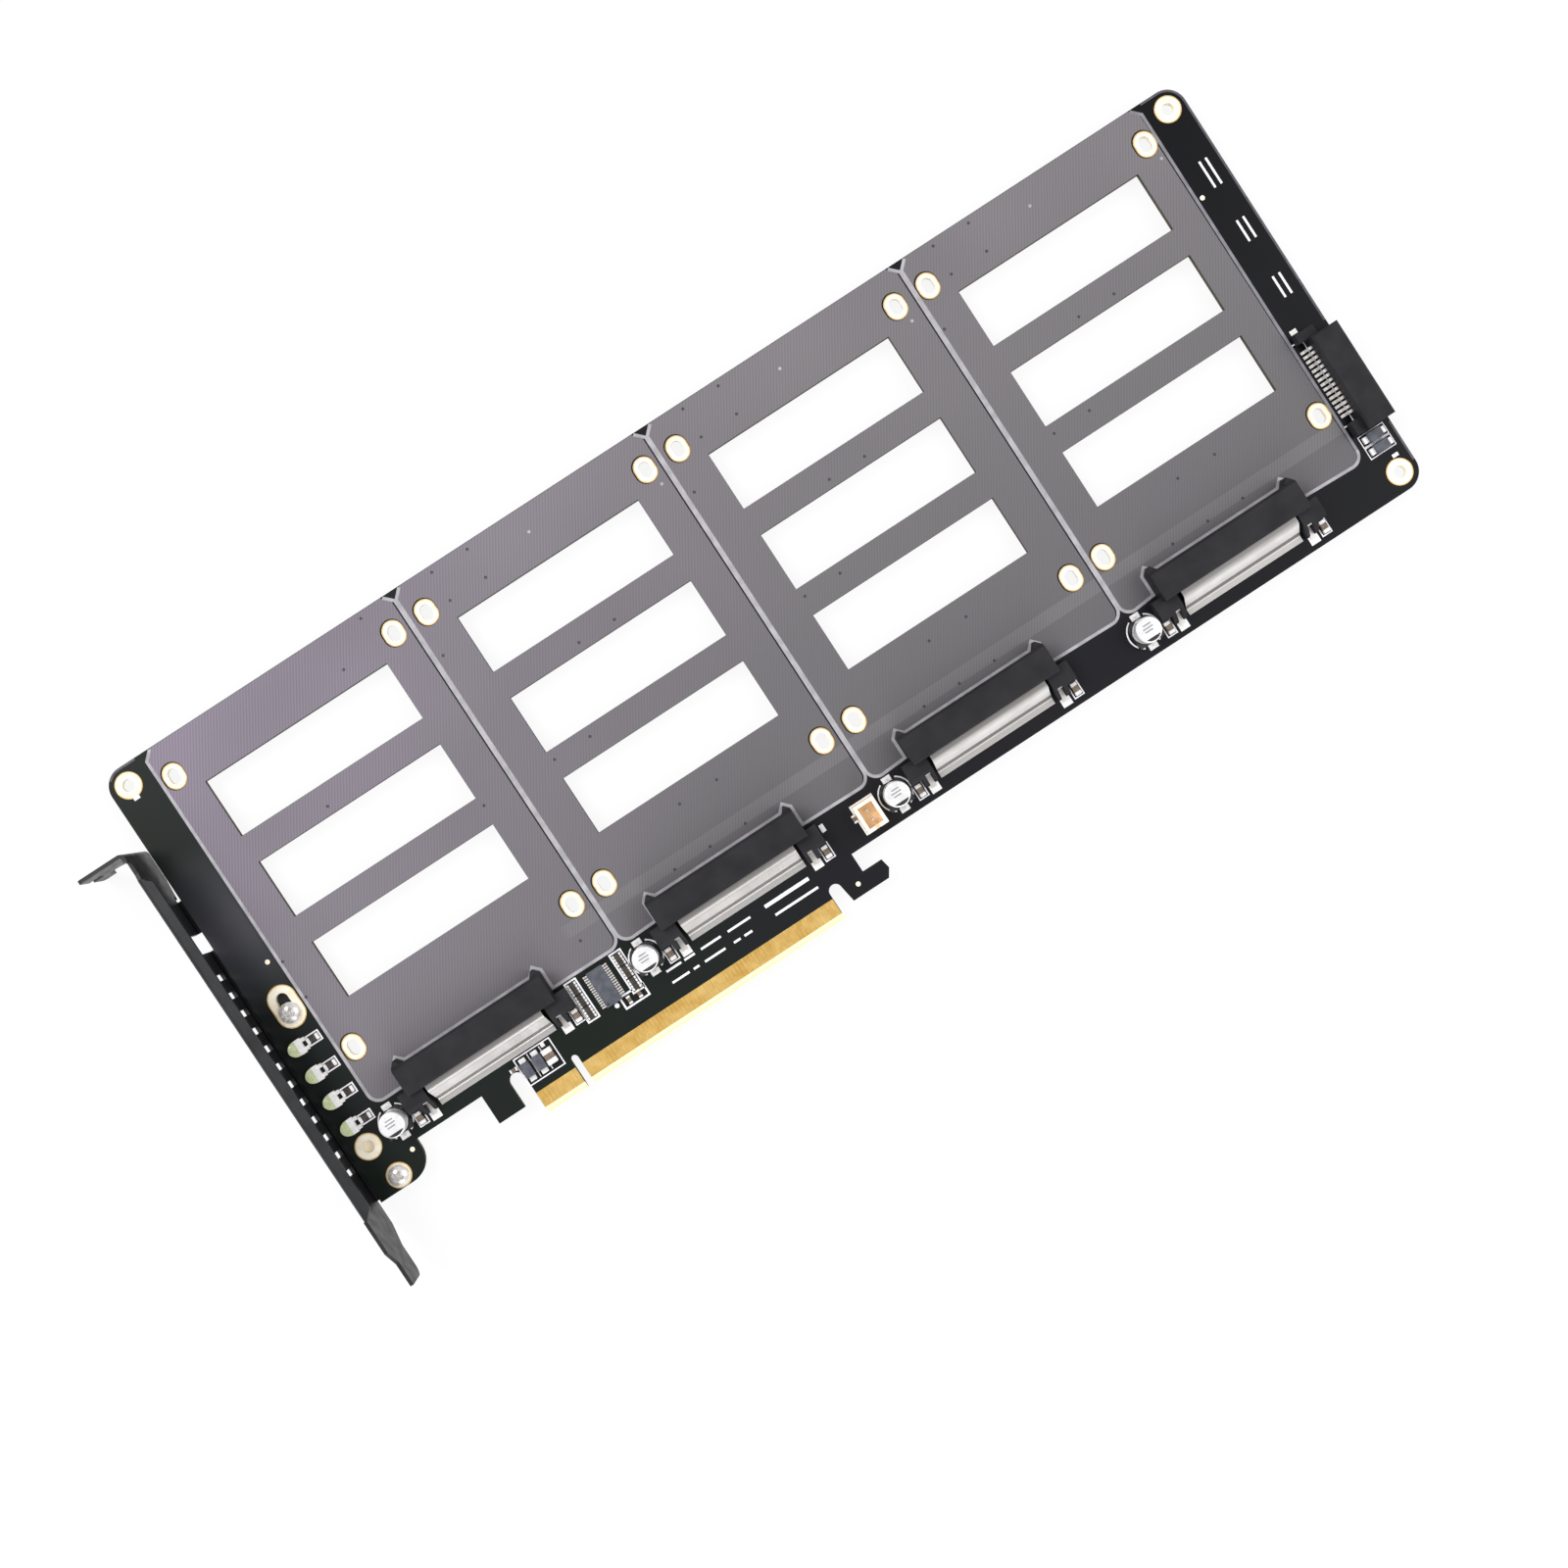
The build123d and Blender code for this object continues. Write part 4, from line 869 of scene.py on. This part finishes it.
# %% [markdown]
# ## Bracket screws
# A pan head is a shallow dome on a short wall, with a cross driven into it.  The head is a
# polar grid whose height is the dome less the recess, so the cross is real geometry.

# %% Screws
RECESS_DEPTH, ARM_HALF_WIDTH, ARM_REACH = 1.15, 0.42, 1.5
SIDE_SLOPE, END_SLOPE, DOME_DROP = 0.12, 0.7, 0.55


def screw_head(x, y, radius=2.5, base=0.05, rise=1.9, rings=30, steps=96):
    """Dome: z = base + rise (1 - 0.55 (r / R)^3), lowered inside a cross.

    Across an arm the recess deepens from nothing to its full depth within SIDE_SLOPE, and along
    the arm within END_SLOPE.  The lower of dome and recess counts.
    """
    r = np.linspace(0.03, 1, rings) ** 0.9 * radius
    t = np.arange(steps) * 2 * np.pi / steps
    px, py = r[None, :] * np.cos(t)[:, None], r[None, :] * np.sin(t)[:, None]
    z = base + rise * (1 - DOME_DROP * (r[None, :] / radius) ** 3) + 0 * px
    turn_x, turn_y = (px + py) / 2 ** 0.5, (px - py) / 2 ** 0.5
    for a, b in ((turn_x, turn_y), (turn_y, turn_x)):
        across = np.clip((ARM_HALF_WIDTH - np.abs(b)) / SIDE_SLOPE, 0, 1)
        along = np.clip((ARM_REACH - np.abs(a)) / END_SLOPE, 0, 1)
        z = np.minimum(z, base + rise - RECESS_DEPTH * across * along)
    head = np.stack([px, py, z], axis=-1)
    wall = np.stack([px[:, -1], py[:, -1], np.full(steps, base)], axis=-1)[:, None, :]
    grid = np.concatenate([head, wall], axis=1)
    faces = grid_faces(steps, rings + 1, close_rows=True)
    around = np.arange(steps) * (rings + 1)
    faces += [list(around[::-1]), list(around + rings)]
    return grid.reshape(-1, 3) + (x, y, 0), faces


screws = Shape()
thread = [(0.02, -3.0), (1.1, -3.0)]
for z in np.arange(-2.8, 0.04, 0.5):
    thread += [(1.18, z), (1.42, z + 0.22)]
thread += [(1.18, 0.04), (0.02, 0.04)]
for x, y in ((-144.5, -14.4), (-144.4, -60.8)):
    screws.add(*screw_head(x, y))
    add_turned(screws, thread, (x, y, 0), 32, closed=False)
piece("pan_screws", screws, nickel_plating, ["bracket_screws"], 30)


# %% [markdown]
# ## Bare copper and solder lands
# The pick-and-place machine aims at round bare marks; testers touch small bare lands; parts
# sit on solder lands a little wider than their leads.  All are thin plates on the board.

# %% Marks and lands
marks, lands = Shape(), Shape()
disc = [(0.02, 0.0), (0.6, 0.0), (0.6, 0.045), (0.57, 0.06), (0.02, 0.06)]
for x, y in ((-138.4, -57.4), (-15.4, -62.7), (-142.5, -1.5), (142.3, 29.1)):
    add_turned(marks, disc, (x, y, 0), 28, closed=False)
piece("copper_marks", marks, land_plating)

for x, y, width, depth in ((148.0, -47.2, 1.6, 0.9), (-146.7, 47.7, 1.6, 0.9), (143.3, -9.4, 1.8, 1.2),
                           (-15.3, -46.9, 1.2, 2.0), (-99.1, -53.5, 1.0, 1.2)):
    add_brick(lands, x, y, width, depth, 0.1, 0.03)
for side in (-1, 1):
    for x, y in CAPACITORS:
        add_brick(lands, x, y + side * 4.1, 2.4, 1.5, 0.16, 0.05)
    for x in RECEPTACLES:
        add_brick(lands, x + side * 18.7, -53.525, 2.6, 2.15, 0.12, 0.04)
piece("solder_lands", lands, solder)


# %% [markdown]
# ## Bare laminate and a painted edge highlight
# Between the gold contacts there is no mask, because a slot's springs would scrape it off, and
# the bare laminate shows as a pale strip.  Along the top and right edges a thin pale strip is a
# painted highlight where the routed edges catch the light.

# %% Bare strips, painted edge highlight
bare_laminate = grained("bare laminate", "b5974f", "c9ad68", 1.5, (0.55, 0.7), 0.15, 0.01)
# Painted highlight: pale strips along the top and right edges where the routed edges catch the light.
edge_highlight_laminate = grained("painted edge highlight", "45434a", "56545b", 2, (0.5, 0.65), 0.15, 0.01)
bare, highlight_strips = Shape(), Shape()
for x0, x1 in ((-106.6, -95.5), (-93.5, -22.5)):
    for low, high in ((0.0, 0.02), (-1.62, -1.6)):
        add_plate(bare, [box_loop(x0, -66.3, x1, -62.35)], low, high)
piece("bare_tongue", bare, bare_laminate, smooth_angle=0)
CORNER_RADIUS, HIGHLIGHT_MIDDLE = 5.0, 0.3
edge_x, edge_y = BOARD_HALF_LENGTH - HIGHLIGHT_MIDDLE, BOARD_HALF_WIDTH - HIGHLIGHT_MIDDLE
corner_x, corner_y = BOARD_HALF_LENGTH - CORNER_RADIUS, BOARD_HALF_WIDTH - CORNER_RADIUS
turn = CORNER_RADIUS - HIGHLIGHT_MIDDLE
for run in (
    np.vstack([[(141.8, edge_y)], arc(corner_x, corner_y, turn, 90, 0, 9), [(edge_x, -11.0)]]),
    [(edge_x, -39.6), (edge_x, -50.5)],
    np.vstack([arc(-corner_x, corner_y, turn, 135, 90, 5), [(-142.2, edge_y)]]),
):
    add_ribbon(highlight_strips, run, 0.55, 0.0, 0.02)
piece("edge_highlight_strips", highlight_strips, edge_highlight_laminate, smooth_angle=0)


# %% [markdown]
# ## White print on the board
# Thin white lines frame the parts, a dot marks the first pin, and plain bars stand on the tongue
# and at the right end.  A frame is a closed ribbon and a bar is a plate.  A texture with an
# alpha could hold all of it, but a line of real thickness stays sharp at any distance.

# %% White lines
INK_TOP, BAR_HALF = 0.025, 0.28
ink = Shape()
for x, y in CAPACITORS:
    for start, end in ((-62, 62), (118, 242)):
        add_ribbon(ink, arc(x, y, 4.15, start, end, 20), 0.35, 0.0, INK_TOP)

# Middle, half length, half width and width of line of each frame
frames = [(x + side * BYPASS_OFFSET, -52.125, 1.25, 1.975, 0.3) for x in RECEPTACLES for side in (-1, 1)]
frames += [(HEADER_X, HEADER_Y, 2.95, 3.8, 0.4), (-74.45, -55.85, 3.25, 1.55, 0.45),
           (-101.95, -56.55, 4.95, 3.65, 0.3)]
frames += [(x, -56.5, 0.05, 3.1, 0.15) for x in (-103.45, -100.1)]
frames += [(LIGHT_X + 3.65, y, 1.65, 1.2, 0.35) for y in LIGHT_ROW]
frames += [(146.1, y, 3.5, 1.45, 0.22) for y in (-40.4, -43.6)] + [(142.45, -23.55, 1.55, 11.55, 0.3)]
frames += [(BUFFER_X + side * NETWORK_OFFSET, BUFFER_Y, 1.5, 5.35, 0.4) for side in (-1, 1)]
for x, y, a, b, width in frames:
    add_ribbon(ink, centred_loop(x, y, a, b), width, 0.0, INK_TOP, closed=True)
add_disc(ink, -79.2, -55.5, 0.6, 0.0, INK_TOP, 20)

# Ends along X of the bars in the two rows on the tongue
upper_ends = (-65.0, -60.8, -59.9, -57.0, -55.2, -49.6, -47.6, -41.2)
lower_ends = (-65.2, -60.4, -59.2, -57.6, -56.0, -50.2, -47.8, -45.9, -44.8, -42.6)
bars = [(start, y - BAR_HALF, end, y + BAR_HALF) for y, ends in ((-55.2, upper_ends), (-58.2, lower_ends))
        for start, end in zip(ends[::2], ends[1::2])]
bars += [(-37.0, -55.55, -24.6, -54.65), (-35.9, -58.4, -23.8, -57.8)]
bars += [(x - BAR_HALF, y - reach, x + BAR_HALF, y + reach)
         for y, reach in ((33.1, 3.6), (17.3, 2.9), (1.5, 2.9)) for x in (146.3, 148.1)]
for bar in bars:
    add_plate(ink, [box_loop(*bar)], 0.0, INK_TOP)
print("frames:", len(frames), "bars:", len(bars))
piece("printed_lines", ink, print_ink, smooth_angle=0)


# %% [markdown]
# ## Vias
# A via is a plated hole a few tenths of a millimetre wide that joins copper layers.  Under the
# mask and the print it shows as a small dark dimple.  Each is a tiny ring of twelve sides, and
# the layout of a bay repeats in the three bays that have the same parts.  Two round pale spots
# of print lie in each of those bays.

# %% Vias
bay_vias = [(-24.7, 54.3), (-14.7, 54.3), (-24.7, 46.4), (-14.7, 46.4), (-4.7, 21.5), (5.3, 21.5),
            (-24.7, 1.5), (-14.7, 1.5), (-33.2, 36.4), (-5.7, -23.5), (4.8, -23.5), (-15.2, -35.9),
            (-5.2, -35.9), (4.8, -35.9)]
end_vias = [(26.2, 54.3), (16.2, 46.4), (26.2, 1.5), (-33.8, -3.4), (-33.8, -13.4), (27.7, -37.8),
            (-4.7, 21.5)]
via_ring = [(0.12, 0.0), (0.36, 0.0), (0.36, 0.035), (0.28, 0.05), (0.12, 0.03)]
vias, spots = Shape(), Shape()
for bay, x in enumerate(BAYS):
    for dx, y in bay_vias if bay else end_vias:
        add_turned(vias, via_ring, (x + dx, y, 0), 12)
    for dx, y in ((-0.2, 49.8), (32.3, 42.2)) if bay else ():
        add_disc(spots, x + dx, y, 0.4, 0.0, 0.035, 14)
piece("print_spots", spots, outline_ink, smooth_angle=0)
piece("via_rings", vias, can_print)


# %% [markdown]
# ## Camera, floor and light
# The photograph looks almost straight down from about half a metre, with the card turned in
# the frame.  The camera was worked out from the card's own holes, whose spacing is known.

# %% Camera
IMAGE_SIDE, FOCAL_PIXELS, SENSOR_WIDTH = 1600, 1975.5, 36
camera_data = bpy.data.cameras.new("camera")
camera_data.sensor_fit = "HORIZONTAL"
camera_data.sensor_width = SENSOR_WIDTH
camera_data.lens = FOCAL_PIXELS / IMAGE_SIDE * SENSOR_WIDTH
camera_data.shift_x = -7.3 / IMAGE_SIDE
camera_data.shift_y = 13.1 / IMAGE_SIDE
camera_data.clip_start = 0.01
camera = bpy.data.objects.new("camera", camera_data)
camera.location = (-22.6 * MM, -24.5 * MM, 460 * MM)
camera.rotation_euler = [math.radians(a) for a in (-0.908, -1.363, -33.159)]
bpy.context.scene.collection.objects.link(camera)
bpy.context.scene.camera = camera
print("lens:", round(camera_data.lens, 2), "mm")

# %% [markdown]
# The floor is a large pale sheet that the card lies on.  To the camera it is mostly its own
# light, so that it looks white, and partly a lit surface, so that it still takes the shadow.

# %% Floor
FLOOR_Z, FLOOR_REACH, GLOW_SHARE = -4.2 * MM, 3.0, 0.9
floor_finish = Finish("pale floor", 0.6, specular=0.2)
floor_finish.color(floor_finish.mix(floor_finish.noise(120), "f4f4f4", "f8f8f8"))
glow = floor_finish.node("ShaderNodeEmission", None, {"Color": (1, 1, 1, 1), "Strength": 1.0})
rays = floor_finish.node("ShaderNodeLightPath").outputs
seen = floor_finish.calc("MAXIMUM", rays["Is Camera Ray"], rays["Is Glossy Ray"])
seen = floor_finish.calc("MAXIMUM", seen, rays["Is Transmission Ray"])
share = floor_finish.calc("MULTIPLY", seen, GLOW_SHARE)
both = floor_finish.node("ShaderNodeMixShader", None, {
    0: share, 1: floor_finish.shader.outputs[0], 2: glow.outputs[0]})
output = floor_finish.tree.nodes["Material Output"]
floor_finish.tree.links.new(both.outputs[0], output.inputs["Surface"])
floor_mesh = bpy.data.meshes.new("floor")
square = box_loop(-FLOOR_REACH, -FLOOR_REACH, FLOOR_REACH, FLOOR_REACH)
floor_mesh.from_pydata(np.insert(square, 2, FLOOR_Z, axis=1).tolist(), [], [(0, 1, 2, 3)])
floor_mesh.materials.append(floor_finish.material)
floor = bpy.data.objects.new("floor", floor_mesh)
bpy.context.scene.collection.objects.link(floor)
print("floor:", 2 * FLOOR_REACH, "m square")

# %% [markdown]
# Three large soft lamps and an even pale sky light the card without hard shadows.

# %% Light
SKY_STRENGTH = 0.55
world = bpy.data.worlds.new("sky")
bpy.context.scene.world = world
world.use_nodes = True
sky = world.node_tree
sky_rays = sky.nodes.new("ShaderNodeLightPath")
sky_seen = sky.nodes.new("ShaderNodeMath")
sky_seen.operation = "MAXIMUM"
sky.links.new(sky_rays.outputs["Is Camera Ray"], sky_seen.inputs[0])
sky.links.new(sky_rays.outputs["Is Transmission Ray"], sky_seen.inputs[1])
sky_strength = sky.nodes.new("ShaderNodeMapRange")
sky_strength.inputs["To Min"].default_value = SKY_STRENGTH
sky.links.new(sky_seen.outputs[0], sky_strength.inputs["Value"])
sky.nodes["Background"].inputs["Color"].default_value = (1, 1, 1, 1)
sky.links.new(sky_strength.outputs[0], sky.nodes["Background"].inputs["Strength"])


def lamp(name, place, size, power):
    """Square area lamp that faces the middle of the card; place is in metres."""
    data = bpy.data.lights.new(name, "AREA")
    data.shape, data.size, data.energy = "SQUARE", size, power
    made = bpy.data.objects.new(name, data)
    made.location = place
    made.rotation_euler = (-Vector(place)).to_track_quat("-Z", "Y").to_euler()
    bpy.context.scene.collection.objects.link(made)


lamp("key lamp", (-0.55, 0.6, 0.9), 0.7, 9)
lamp("fill lamp", (0.8, -0.3, 0.8), 0.9, 6)
lamp("end lamp", (-0.3, -0.9, 0.5), 0.6, 4)
bpy.context.scene.view_settings.view_transform = "Standard"
print("lamps:", len(bpy.data.lights))
